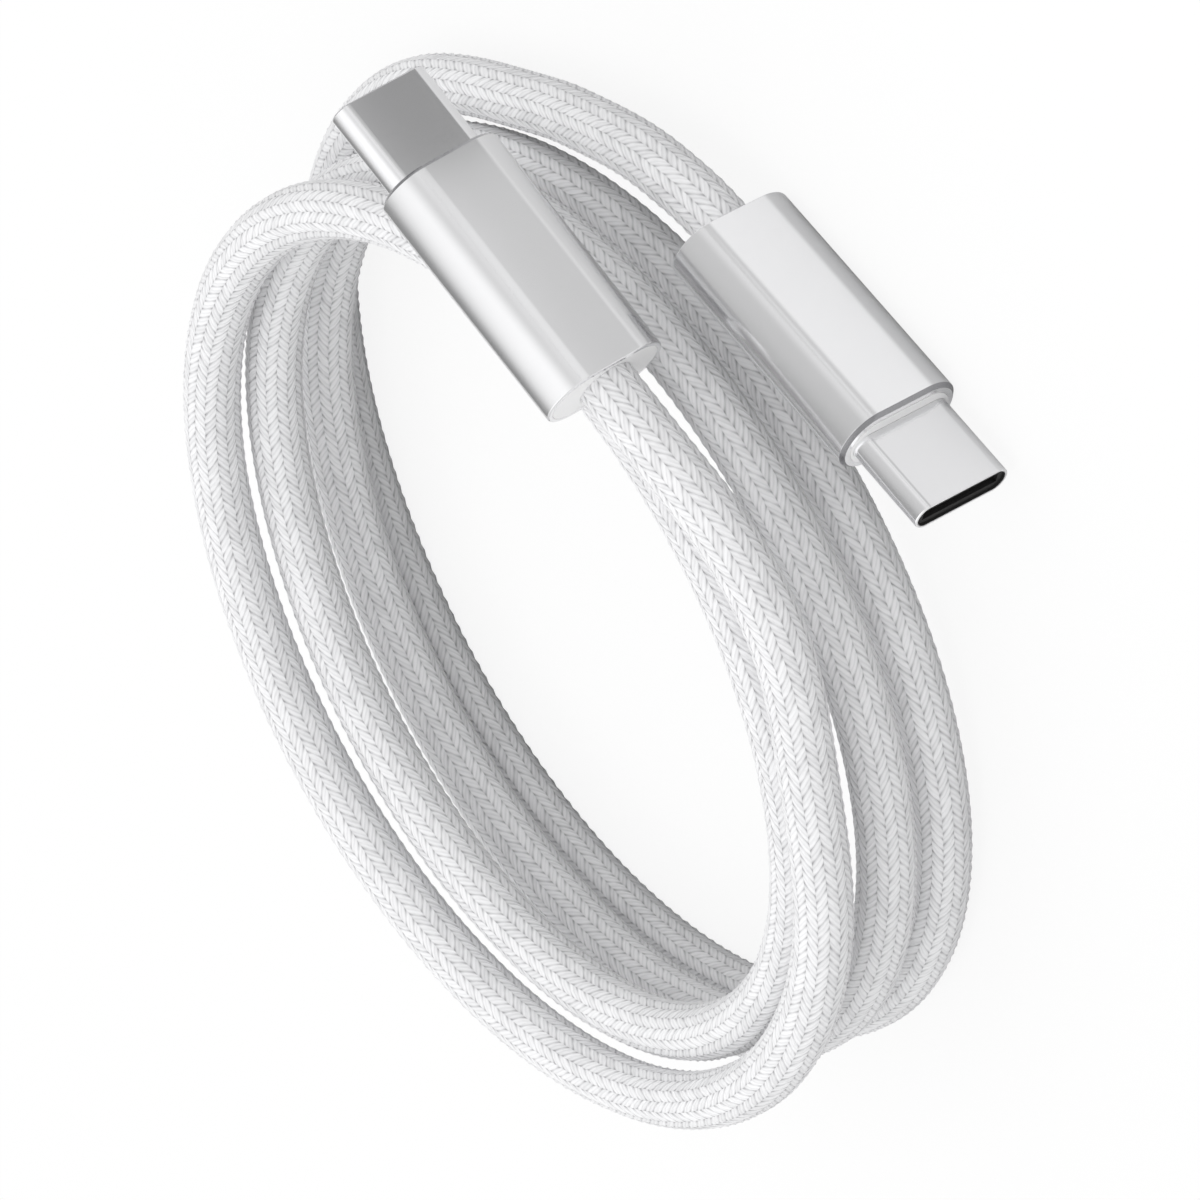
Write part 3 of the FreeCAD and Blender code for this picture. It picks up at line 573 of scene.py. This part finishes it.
@dataclass
class BraidedCord:
    """The whole cord as one braided tube with its herringbone relief."""

    route: CordRoute
    columns: int = 16
    pitch: float = 1.13 * MM
    slant: float = 1.0
    crest: float = 2.25 * MM
    valley: float = 2.15 * MM
    groove: float = 2.14 * MM
    tuck: float = 1.0 * MM
    wander: float = 0.35
    wander_lengths: tuple = (47.0 * MM, 113.0 * MM)

    def build(self, lower: "PlugPlace", upper: "PlugPlace") -> bpy.types.Object:
        """Args:
            lower: Where the lower plug lies.
            upper: Where the upper plug lies.

        Returns:
            The cord's object.
        """
        line = self.route.line(self.route.control_points(lower, upper))
        piece = self.tube(line)
        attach(piece, "root")
        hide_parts("coiled_cord", "lower_lead", "upper_lead")
        return piece

    def tube(self, line: np.ndarray) -> bpy.types.Object:
        """Lay the braid's relief along the line.

        Args:
            line: Points of the cord's centre line.

        Returns:
            The tube's object.
        """
        first = line[0] - line[1]
        last = line[-1] - line[-2]
        start = line[0] + first / np.linalg.norm(first) * self.tuck
        end = line[-1] + last / np.linalg.norm(last) * self.tuck
        line = np.vstack([start, line, end])
        travelled = np.concatenate([[0.0], np.cumsum(np.linalg.norm(np.diff(line, axis=0), axis=1))])
        length = travelled[-1]
        around = self.columns * 2
        zigzag = np.arange(around) % 4
        zigzag = np.where(zigzag <= 2, zigzag, 4 - zigzag) / 2
        rows = int(length / self.pitch * 2)
        steps = np.arange(rows + 1)[:, None] / 2 + self.slant * (zigzag[None, :] - 0.5)
        along = np.clip(steps * self.pitch, 0.0, length)
        centre = np.stack([np.interp(along, travelled, line[:, axis]) for axis in range(3)], axis=-1)
        heading = np.gradient(line, travelled, axis=0)
        heading = np.stack([np.interp(along, travelled, heading[:, axis]) for axis in range(3)], axis=-1)
        heading /= np.linalg.norm(heading, axis=-1, keepdims=True)
        across = np.cross(heading, [0.0, 0.0, 1.0])
        across /= np.linalg.norm(across, axis=-1, keepdims=True)
        upward = np.cross(across, heading)
        drift = sum(np.sin(along / span + turn) for turn, span in enumerate(self.wander_lengths))
        angle = 2 * np.pi * np.arange(around)[None, :] / around + self.wander * drift
        float_row = (np.arange(rows + 1)[:, None] + np.arange(around)[None, :] // 2) % 2
        relief = np.where(float_row == 0, self.crest, self.valley)
        radius = np.where(np.arange(around)[None, :] % 2 == 1, relief, self.groove)
        offset = across * np.cos(angle)[..., None] + upward * np.sin(angle)[..., None]
        places = (centre + offset * radius[..., None]).reshape(-1, 3)
        return self.mesh(places, rows, around, along / length)

    def mesh(self, places: np.ndarray, rows: int, around: int, share: np.ndarray) -> bpy.types.Object:
        """Make the closed mesh and its UV map.

        Args:
            places: Vertices, ring by ring.
            rows: Number of steps along the cord.
            around: Number of vertices in a ring.
            share: Distance along the cord of each vertex, 0 to 1.

        Returns:
            The mesh object.
        """
        ring = np.arange(around)
        after = (ring + 1) % around
        base = (np.arange(rows) * around)[:, None]
        quads = np.stack([base + ring, base + after, base + around + after, base + around + ring], axis=-1)
        quads = quads.reshape(-1, 4)
        ends = [list(range(around))[::-1], list(range(rows * around, (rows + 1) * around))]
        mesh = bpy.data.meshes.new("braided_cord")
        mesh.from_pydata(places.tolist(), [], quads.tolist() + ends)
        sides = np.arange(around + 1) / around
        column = np.stack([sides[:-1], sides[1:], sides[1:], sides[:-1]], axis=-1)
        column = np.broadcast_to(column, (rows, around, 4))
        low, high = share[:-1], share[1:]
        height = np.stack([low, np.roll(low, -1, axis=1), np.roll(high, -1, axis=1), high], axis=-1)
        pairs = np.stack([column, height], axis=-1).reshape(-1, 2)
        pairs = np.vstack([pairs, np.zeros((2 * around, 2))])
        mesh.uv_layers.new(name="Braid").data.foreach_set("uv", pairs.astype(np.float32).ravel())
        mesh.polygons.foreach_set("use_smooth", [True] * len(mesh.polygons))
        mesh.update()
        piece = bpy.data.objects.new("braided_cord", mesh)
        bpy.context.scene.collection.objects.link(piece)
        total = self.length_in_rows(share, rows)
        finish = BraidFinish(self.columns, total, self.slant)
        mesh.materials.append(finish.material())
        return piece

    def length_in_rows(self, share: np.ndarray, rows: int) -> float:
        """Count the braid's pitches in the whole cord, so that floats meet the relief.

        Args:
            share: Distance along the cord of each vertex, 0 to 1.
            rows: Number of steps along the cord.

        Returns:
            The number of pitches.
        """
        middle = rows // 2
        step = float(share[middle + 2, 0] - share[middle, 0])
        return 1.0 / step


# The plugs


@dataclass(frozen=True)
class PlugPlace:
    """Where a plug lies: the centre of its rear face and the way that it points."""

    end: PlugEnd
    rear: Vector
    turn: float
    tilt: float

    @property
    def axis(self) -> Vector:
        """The plug's direction, from its cord to its tip."""
        return self.rotation() @ Vector((1.0, 0.0, 0.0))

    def rotation(self) -> Matrix:
        """Return the plug's rotation."""
        turned = Matrix.Rotation(math.radians(self.turn), 3, "Z")
        return turned @ Matrix.Rotation(-math.radians(self.tilt), 3, "Y")

    def matrix(self) -> Matrix:
        """Return the plug's place in the frame, in metres."""
        return Matrix.Translation(self.rear * MM) @ self.rotation().to_4x4()


@dataclass
class SlotPiece:
    """A bar of slot section, shaped in edit mode: straight faces and round sides."""

    name: str
    start: float
    end: float
    width: float
    thickness: float
    rounding: int = 28
    rim_margin: float = 0.1

    def bar(self) -> bpy.types.Object:
        """Make the solid bar along X, in metres.

        Returns:
            The bar's object, left in object mode and active.
        """
        bpy.ops.object.select_all(action="DESELECT")
        middle = (self.start + self.end) / 2 * MM
        bpy.ops.mesh.primitive_cube_add(size=1.0, location=(middle, 0.0, 0.0))
        piece = bpy.context.active_object
        piece.name = self.name
        piece.data.name = self.name
        piece.scale = ((self.end - self.start) * MM, self.thickness * MM, self.width * MM)
        bpy.ops.object.transform_apply(location=True, rotation=True, scale=True)
        self.pick_edges(piece, lambda a, b: abs(a.x - b.x) > NEAR_PLACE)
        bpy.ops.mesh.bevel(offset=self.thickness / 2 * MM, offset_type="OFFSET", segments=self.rounding)
        bpy.ops.mesh.select_all(action="SELECT")
        bpy.ops.mesh.remove_doubles(threshold=SAME_PLACE)
        bpy.ops.object.mode_set(mode="OBJECT")
        return piece

    def pick_edges(self, piece: bpy.types.Object, test: Callable[[Vector, Vector], bool]) -> None:
        """Select the edges that pass a test, and stay in edit mode.

        Args:
            piece: The object, which is active.
            test: Takes an edge's two ends.
        """
        bpy.ops.object.mode_set(mode="EDIT")
        bpy.ops.mesh.select_mode(type="EDGE")
        bpy.ops.mesh.select_all(action="DESELECT")
        bpy.ops.object.mode_set(mode="OBJECT")
        places = [vertex.co for vertex in piece.data.vertices]
        for edge in piece.data.edges:
            first, second = edge.vertices
            edge.select = test(places[first], places[second])
        bpy.ops.object.mode_set(mode="EDIT")

    def pick_faces(self, piece: bpy.types.Object, test: Callable[[Vector, Vector], bool]) -> None:
        """Select the faces that pass a test, and stay in edit mode.

        Args:
            piece: The object, which is active.
            test: Takes a face's centre and normal.
        """
        bpy.ops.object.mode_set(mode="EDIT")
        bpy.ops.mesh.select_mode(type="FACE")
        bpy.ops.mesh.select_all(action="DESELECT")
        bpy.ops.object.mode_set(mode="OBJECT")
        for face in piece.data.polygons:
            face.select = test(face.center, face.normal)
        bpy.ops.object.mode_set(mode="EDIT")

    def hollow(self, piece: bpy.types.Object, wall: float) -> None:
        """Open the bar into a tube: inset both ends, drop the inner faces and bridge them.

        Args:
            piece: The bar.
            wall: Wall thickness in millimetres.
        """
        self.pick_faces(piece, lambda centre, normal: abs(normal.x) > 0.99)
        bpy.ops.mesh.inset(thickness=wall * MM, use_individual=True)
        bpy.ops.mesh.delete(type="ONLY_FACE")
        bpy.ops.object.mode_set(mode="OBJECT")
        inner = self.thickness / 2 - wall / 2

        def inside(point: Vector) -> bool:
            """Tell whether a point lies on the inner rim."""
            reach = (self.width - self.thickness) / 2 * MM
            beyond = max(abs(point.z) - reach, 0.0)
            return math.hypot(point.y, beyond) < inner * MM

        self.pick_edges(piece, lambda a, b: abs(a.x - b.x) < SAME_PLACE and inside(a) and inside(b))
        bpy.ops.mesh.bridge_edge_loops()
        bpy.ops.mesh.select_all(action="SELECT")
        bpy.ops.mesh.normals_make_consistent(inside=False)
        bpy.ops.object.mode_set(mode="OBJECT")

    def ease_rim(self, piece: bpy.types.Object, at: float, width: float, segments: int, outer: bool) -> None:
        """Bevel the rim at one end.

        Args:
            piece: The bar or tube.
            at: The rim's place along X, in millimetres.
            width: The bevel's width in millimetres.
            segments: 1 gives a chamfer, more give a round.
            outer: True for the outer edge, False for the inner one.
        """
        reach = (self.width - self.thickness) / 2 * MM
        limit = (self.thickness / 2 - self.rim_margin) * MM

        def chosen(point: Vector) -> bool:
            """Tell whether a point lies on the chosen rim."""
            beyond = max(abs(point.z) - reach, 0.0)
            on_outer = math.hypot(point.y, beyond) > limit
            return abs(point.x - at * MM) < NEAR_PLACE and on_outer == outer

        self.pick_edges(piece, lambda a, b: chosen(a) and chosen(b))
        bpy.ops.mesh.bevel(offset=width * MM, offset_type="OFFSET", segments=segments)
        bpy.ops.object.mode_set(mode="OBJECT")

    def cut(self, piece: bpy.types.Object, start: float, end: float, inset: float) -> None:
        """Cut a slot bore out of a bar.

        Args:
            piece: The bar.
            start: Where the bore starts along X, in millimetres.
            end: Where it ends.
            inset: How far the bore keeps from the bar's own outside.
        """
        width, thickness = self.width - 2 * inset, self.thickness - 2 * inset
        form = SlotPiece("bore", start, end, width, thickness, self.rounding)
        tool = form.bar()
        change = piece.modifiers.new("Bore", "BOOLEAN")
        change.operation = "DIFFERENCE"
        change.solver = "EXACT"
        change.object = tool
        bpy.ops.object.select_all(action="DESELECT")
        bpy.context.view_layer.objects.active = piece
        piece.select_set(True)
        bpy.ops.object.modifier_apply(modifier=change.name)
        bpy.data.objects.remove(tool)


@dataclass
class Plug:
    """One plug: its housing and shell, and the finishes of its inner pieces."""

    place: PlugPlace
    housing_length: float = 19.9
    housing_width: float = 10.2
    housing_thickness: float = 5.76
    sleeve_wall: float = 0.4
    lip_wall: float = 0.75
    lip_depth: float = 0.6
    front_chamfer: float = 0.3
    rear_round: float = 0.12
    shell_start: float = 15.3
    shell_width: float = 8.25
    shell_thickness: float = 2.4
    shell_reach: float = 7.25
    shell_wall: float = 0.25
    lip_round: float = 0.11
    inner_lip_round: float = 0.077
    broken_edge: float = 0.03
    broken_angle: float = 28.0
    bore_overrun: float = 1.0
    normal_weight: int = 90
    chamfer_slopes: tuple = (0.35, 0.95)
    inward: float = -0.3
    finishes: dict = field(default_factory=dict)

    def node(self, name: str) -> str:
        """Return the full name of one of this plug's nodes."""
        return f"{self.place.end.value}_{name}"

    def settle(self, piece: bpy.types.Object, node: str, slot: str, angle: float) -> None:
        """Args:
            piece: The finished piece, made along X.
            node: The node that it stands for.
            slot: The record's material slot.
            angle: Edges sharper than this many degrees stay sharp.
        """
        bpy.ops.object.select_all(action="DESELECT")
        piece.select_set(True)
        bpy.context.view_layer.objects.active = piece
        piece.matrix_world = self.place.matrix()
        bpy.ops.object.transform_apply(location=True, rotation=True, scale=True)
        bpy.ops.object.shade_smooth_by_angle(angle=math.radians(angle))
        even = piece.modifiers.new("Normals", "WEIGHTED_NORMAL")
        even.weight = self.normal_weight
        even.keep_sharp = True
        bpy.ops.object.modifier_apply(modifier=even.name)
        piece.data.materials.clear()
        piece.data.materials.append(self.finishes[slot])
        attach(piece, "root")
        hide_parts(self.node(node))
        log.info("%s: %d faces", piece.name, len(piece.data.polygons))

    def soften(self, piece: bpy.types.Object, width: float) -> None:
        """Break every sharp edge a little.

        Args:
            piece: The piece, which is active.
            width: The bevel's width in millimetres.
        """
        edge = piece.modifiers.new("Edges", "BEVEL")
        edge.width = width * MM
        edge.segments = 2
        edge.limit_method = "ANGLE"
        edge.angle_limit = math.radians(self.broken_angle)
        bpy.ops.object.modifier_apply(modifier=edge.name)

    def build_housing(self) -> bpy.types.Object:
        """Build the aluminium sleeve: a slot bar with eased rims, bored in two widths.

        Returns:
            The sleeve's object.
        """
        form = SlotPiece(
            self.node("housing"), 0.0, self.housing_length, self.housing_width, self.housing_thickness, 40
        )
        piece = form.bar()
        form.ease_rim(piece, self.housing_length, self.front_chamfer, 1, True)
        form.ease_rim(piece, 0.0, self.rear_round, 3, True)
        self.soften(piece, self.broken_edge)
        front = self.housing_length - self.lip_depth
        over = self.bore_overrun
        form.cut(piece, -over, front, self.sleeve_wall)
        form.cut(piece, front - over, self.housing_length + over, self.lip_wall)
        self.settle(piece, "housing_sleeve", "satin_aluminium", 35)
        # Painted shade: the front chamfer is coloured dark
        self.paint_chamfer_shade(piece)
        return piece

    def paint_chamfer_shade(self, piece: bpy.types.Object) -> None:
        """Give the front chamfer a much darker metal colour than the sleeve: painted shade along the
        chamfer.

        Args:
            piece: The housing, in its place.
        """
        piece.data.materials.append(self.finishes["turned_aluminium"])
        axis = self.place.axis
        front = (self.housing_length - self.front_chamfer) * MM
        low, high = self.chamfer_slopes
        for face in piece.data.polygons:
            ahead = (face.center - self.place.rear * MM).dot(axis)
            if ahead > front and low < face.normal.dot(axis) < high:
                face.material_index = 1

    def build_shell(self) -> bpy.types.Object:
        """Build the steel shell: a slot tube with a rounded lip.

        Returns:
            The shell's object.
        """
        tip = self.housing_length + self.shell_reach
        form = SlotPiece(
            self.node("shell"), self.shell_start, tip, self.shell_width, self.shell_thickness, 32
        )
        piece = form.bar()
        form.hollow(piece, self.shell_wall)
        form.ease_rim(piece, tip, self.lip_round, 4, True)
        form.ease_rim(piece, tip, self.inner_lip_round, 3, False)
        self.settle(piece, "plug_shell", "plated_steel", 50)
        # Painted shade: the shell's inner faces are coloured near black
        self.paint_bore_shade(piece)
        return piece

    def paint_bore_shade(self, piece: bpy.types.Object) -> None:
        """Colour the inside of the steel shell near black: painted shade in the bore.

        Args:
            piece: The shell, in its place.
        """
        piece.data.materials.append(self.finishes["dark_bore"])
        back = self.place.matrix().inverted()
        turned = back.to_3x3()
        reach = (self.shell_width - self.shell_thickness) / 2 * MM
        for face in piece.data.polygons:
            centre = back @ face.center
            normal = turned @ face.normal
            beyond = math.copysign(max(abs(centre.z) - reach, 0.0), centre.z)
            if centre.y * normal.y + beyond * normal.z < self.inward * math.hypot(centre.y, beyond):
                face.material_index = 1

    def dress_nodes(self) -> None:
        """Give the plug's other nodes their finishes."""
        slots = {entry["node"]: entry["material_slot"] for entry in frame["record"]["subparts"]}
        for name, item in frame["nodes"].items():
            if name.startswith(self.place.end.value) and slots[name] in self.finishes:
                item.data.materials.clear()
                item.data.materials.append(self.finishes[slots[name]])

    def build(self) -> None:
        """Build the plug's new pieces and dress the rest."""
        self.build_housing()
        self.build_shell()
        self.dress_nodes()


# Camera, table and light


@dataclass
class Studio:
    """The photograph's camera, a pale table and soft light."""

    centre: Vector
    elevation: float = 26.79
    roll: float = 117.55
    distance: float = 754.9
    shift_right: float = -0.83
    shift_up: float = 6.23
    lens: float = 302.5
    lamp_place: tuple = (0.2, -0.45, 0.6)
    lamp_size: tuple = (1.0, 1.52)
    lamp_turn: float = 25.8
    lamp_radiance: float = 0.4
    room_radiance: float = 1.09
    table_tone: float = 0.8
    bounce_tone: float = 0.55
    table_glow: float = 0.88
    # The card and the step are a painted dark patch and a painted shadow on the table, seen only in
    # reflections
    card_skew: float = 0.35
    card_edges: tuple = (-64.0, -76.0, -88.0, -98.0)
    painted_card_depth: float = 0.39
    painted_card_rest: float = 0.35
    step_heading: float = 35.66
    step_edges: tuple = (5.5, 6.6)
    painted_shadow_depth: float = 0.27
    panel_skew: float = 0.42
    panel_edges: tuple = (0.26, 0.38)
    panel_radiance: float = 0.95
    panel_foot: tuple = (0.3, 0.85, 0.55)
    side_edges: tuple = (0.4, 0.46)
    side_radiances: tuple = (0.22, 0.66)
    front_height: tuple = (0.05, 0.5)
    front_edges: tuple = (-0.2, 0.2)
    front_radiance: float = 0.82

    def camera(self) -> None:
        """Place the camera."""
        tilt = math.radians(self.elevation)
        spin = math.radians(self.roll)
        ahead = Vector((0.0, math.cos(tilt), -math.sin(tilt)))
        right = Vector((1.0, 0.0, 0.0))
        up = Vector((0.0, math.sin(tilt), math.cos(tilt)))
        place = self.centre - ahead * self.distance + right * self.shift_right + up * self.shift_up
        across = right * math.cos(spin) - up * math.sin(spin)
        above = right * math.sin(spin) + up * math.cos(spin)
        data = bpy.data.cameras.new("photo_camera")
        data.lens = self.lens
        data.sensor_width = 36.0
        data.clip_start = 0.01
        data.clip_end = 20.0
        holder = bpy.data.objects.new("photo_camera", data)
        turned = Matrix((across, above, -ahead)).transposed()
        holder.matrix_world = Matrix.Translation(place * MM) @ turned.to_4x4()
        bpy.context.scene.collection.objects.link(holder)
        bpy.context.scene.camera = holder

    def table(self) -> None:
        """Lay the white table top, which keeps the object's shadow."""
        bpy.ops.object.select_all(action="DESELECT")
        bpy.ops.mesh.primitive_plane_add(size=6.0, location=(0.0, 0.0, 0.0))
        floor = bpy.context.active_object
        floor.name = "table_top"
        shader = Shader("table_white")
        rays = shader.node("ShaderNodeLightPath").outputs
        change = self.bounce_tone - self.table_tone
        bounced = shader.math("MULTIPLY_ADD", rays["Is Diffuse Ray"], change, self.table_tone)
        # Painted reflection: for reflected rays the table is darkened where the plugs' metal mirrors it
        tone = shader.math("MULTIPLY", self.painted_reflection_tone(shader, rays["Is Glossy Ray"]), bounced)
        shader.set(Base_Color=tone, Roughness=0.9, Specular_IOR_Level=0.1)
        seen = shader.math("MAXIMUM", rays["Is Camera Ray"], rays["Is Transmission Ray"])
        glow = shader.node("ShaderNodeEmission")
        glow.inputs["Color"].default_value = (1.0, 1.0, 1.0, 1.0)
        mix = shader.node("ShaderNodeMixShader")
        shader.wire(shader.math("MULTIPLY", seen, self.table_glow), mix.inputs[0])
        shader.wire(shader.surface.outputs[0], mix.inputs[1])
        shader.wire(glow.outputs[0], mix.inputs[2])
        output = shader.tree.nodes["Material Output"]
        shader.wire(mix.outputs[0], output.inputs["Surface"])
        floor.data.materials.append(shader.material)

    def painted_reflection_tone(self, shader: Shader, mirrored: object) -> object:
        """Darken the table for reflected rays only, where the upper plug's flat face mirrors it: a painted
        reflection of a grey card that is not there.

        Depths are millimetres from the coil's centre, less towards the camera. The painted card is full
        between card_edges and keeps a share of its darkness nearer still. Past the step's line it is darker
        again: a painted shadow under the plugs that only reflected rays see.

        Args:
            shader: The table's material.
            mirrored: Socket that is 1 for a reflected ray.

        Returns:
            The tone's socket, 1 for plain white.
        """
        place = shader.separate(shader.node("ShaderNodeTexCoord").outputs["Object"])
        across = shader.math("DIVIDE", shader.math("SUBTRACT", place[0], self.centre.x * MM), MM)
        ahead = shader.math("DIVIDE", shader.math("SUBTRACT", place[1], self.centre.y * MM), MM)
        depth = shader.math("MULTIPLY_ADD", across, -self.card_skew, ahead)
        near_in, near_out, far_in, far_out = self.card_edges
        near = shader.ramp(depth, near_out, near_in, self.painted_card_depth, 0.0)
        far = shader.ramp(depth, far_out, far_in, self.painted_card_rest, 1.0)
        card = shader.math("MULTIPLY", near, far)
        heading = math.radians(self.step_heading)
        along = shader.math("MULTIPLY", across, math.cos(heading))
        along = shader.math("MULTIPLY_ADD", ahead, math.sin(heading), along)
        step = shader.ramp(along, *self.step_edges, 0.0, self.painted_shadow_depth)
        beyond = shader.math("MULTIPLY", step, shader.ramp(depth, near_out, near_in, 1.0, 0.0))
        # painted reflection darkness, for reflected rays only
        dark = shader.math("MULTIPLY", shader.math("ADD", card, beyond), mirrored)
        return shader.math("SUBTRACT", 1.0, dark)

    def lamp(self, name: str, place: tuple, size: tuple, radiance: float) -> None:
        """Add a wide soft lamp that looks straight down.

        Args:
            name: The lamp's name.
            place: Its centre from the coil's centre, in metres.
            size: Its sides along its own X and Y, in metres.
            radiance: Its brightness, 1 for white.
        """
        data = bpy.data.lights.new(name, "AREA")
        data.shape = "RECTANGLE"
        data.size, data.size_y = size
        data.energy = radiance * math.pi * size[0] * size[1]
        holder = bpy.data.objects.new(name, data)
        holder.location = self.centre * MM + Vector(place)
        holder.rotation_euler.z = math.radians(self.lamp_turn)
        holder.visible_glossy = False
        bpy.context.scene.collection.objects.link(holder)

    def light(self) -> None:
        """Set the soft lamp and the pale room, which metal mirrors as soft panels."""
        self.lamp("top_softbox", self.lamp_place, self.lamp_size, self.lamp_radiance)
        world = bpy.data.worlds.new("pale_room")
        bpy.context.scene.world = world
        world.use_nodes = True
        nodes = NodeBuilder(world.node_tree)
        mirrored = nodes.node("ShaderNodeLightPath").outputs["Is Glossy Ray"]
        change = nodes.math("SUBTRACT", self.mirrored_room(nodes), self.room_radiance)
        room = world.node_tree.nodes["Background"]
        room.inputs["Color"].default_value = (1.0, 1.0, 1.0, 1.0)
        nodes.wire(nodes.math("MULTIPLY_ADD", change, mirrored, self.room_radiance), room.inputs["Strength"])

    def mirrored_room(self, nodes: NodeBuilder) -> object:
        """Return the room's brightness by direction: a large panel, a dim gap and a side panel.

        Edges are shares of the reflected ray's unit direction. Low in front of the table the
        room has one even brightness.

        Args:
            nodes: The world's node tree.

        Returns:
            The brightness's socket, 1 for white.
        """
        across, ahead, upward = nodes.separate(nodes.node("ShaderNodeTexCoord").outputs["Generated"])
        turned = nodes.math("MULTIPLY_ADD", ahead, self.panel_skew, across)
        panel = nodes.ramp(turned, *self.panel_edges, self.panel_radiance, 0.0)
        panel = nodes.math("MULTIPLY", panel, nodes.ramp(upward, *self.panel_foot))
        side = nodes.ramp(turned, *self.side_edges, *self.side_radiances)
        low = nodes.ramp(upward, *self.front_height, 1.0, 0.0)
        low = nodes.math("MULTIPLY", low, nodes.ramp(ahead, *self.front_edges, 1.0, 0.0))
        high = nodes.math("ADD", panel, side)
        change = nodes.math("SUBTRACT", self.front_radiance, high)
        return nodes.math("MULTIPLY_ADD", change, low, high)

    def build(self) -> None:
        """Build the whole studio."""
        self.camera()
        self.table()
        self.light()
        bpy.context.scene.view_settings.view_transform = "Standard"


def plug_finishes() -> dict[str, bpy.types.Material]:
    """Make the plugs' finishes: the record's slots, and the painted shade for the chamfer and the bore that
    only new pieces use.

    Returns:
        The materials by name.
    """
    finishes = {
        "satin_aluminium": MetalFinish(
            "satin_aluminium",
            colour=(0.89, 0.89, 0.9),
            shade=(0.87, 0.87, 0.88),
            roughness=0.19,
            grain=14000.0,
            grain_depth=0.001 * MM,
            # painted shade on the sleeve's downward faces
            painted_underside_shade=0.74,
        ),
        # painted shade for the front chamfer: the sleeve's aluminium, coloured dark
        "turned_aluminium": MetalFinish(
            "turned_aluminium",
            colour=(0.32, 0.32, 0.33),
            shade=(0.3, 0.3, 0.31),
            roughness=0.25,
            grain=9000.0,
            grain_depth=0.001 * MM,
        ),
        "plated_steel": MetalFinish(
            "plated_steel",
            colour=(0.8, 0.8, 0.81),
            shade=(0.78, 0.78, 0.79),
            roughness=0.16,
            grain=9000.0,
            grain_depth=0.0006 * MM,
            # painted shade on downward faces and a painted highlight on upward faces
            painted_underside_shade=0.88,
            painted_upper_highlight=1.22,
        ),
        # painted shade: near black for the inside of the steel shell
        "dark_bore": PlasticFinish("dark_bore", (0.008, 0.008, 0.008), (0.006, 0.006, 0.006), 0.8),
        "spring_steel": MetalFinish(
            "spring_steel",
            colour=(0.66, 0.66, 0.68),
            shade=(0.58, 0.58, 0.6),
            roughness=0.3,
            grain=9000.0,
            grain_depth=0.002 * MM,
        ),
        "gold_contacts": MetalFinish(
            "gold_contacts",
            colour=(0.9, 0.68, 0.3),
            shade=(0.82, 0.6, 0.25),
            roughness=0.2,
            grain=12000.0,
            grain_depth=0.001 * MM,
        ),
        "solder": MetalFinish(
            "solder",
            colour=(0.72, 0.72, 0.72),
            shade=(0.62, 0.62, 0.62),
            roughness=0.35,
            grain=7000.0,
            grain_depth=0.006 * MM,
        ),
        "white_plastic": PlasticFinish("white_plastic", (0.88, 0.88, 0.88), (0.85, 0.85, 0.85), 0.4),
        "moulding": PlasticFinish("moulding", (0.8, 0.8, 0.78), (0.76, 0.76, 0.74), 0.55),
        "black_plastic": PlasticFinish("black_plastic", (0.006, 0.006, 0.006), (0.004, 0.004, 0.004), 0.7),
        "board_laminate": PlasticFinish("board_laminate", (0.05, 0.2, 0.11), (0.04, 0.16, 0.09), 0.35),
        "chip_resin": PlasticFinish("chip_resin", (0.05, 0.05, 0.05), (0.035, 0.035, 0.035), 0.6),
        "wire_cover": PlasticFinish("wire_cover", (0.75, 0.12, 0.1), (0.68, 0.1, 0.08), 0.45),
        "signal_cover": PlasticFinish("signal_cover", (0.85, 0.85, 0.8), (0.8, 0.8, 0.75), 0.45),
        "jacket": PlasticFinish("jacket", (0.8, 0.8, 0.8), (0.75, 0.75, 0.75), 0.6),
        "braid": PlasticFinish("cord_inside", (0.8, 0.8, 0.81), (0.7, 0.7, 0.71), 0.7),
    }
    return {slot: finish.material() for slot, finish in finishes.items()}


def main() -> None:
    route = CordRoute()
    top = route.coil_point(route.turns).z
    lower = PlugPlace(PlugEnd.LOWER, route.centre + Vector((18.0, -41.1, 5.1)), turn=-153.3, tilt=0.0)
    upper = PlugPlace(PlugEnd.UPPER, route.centre + Vector((12.6, -39.7, top + 2.6)), turn=17.8, tilt=2.5)
    Studio(route.centre).build()
    BraidedCord(route).build(lower, upper)
    finishes = plug_finishes()
    for place in (lower, upper):
        Plug(place, finishes=finishes).build()


if __name__ == "__main__":
    main()
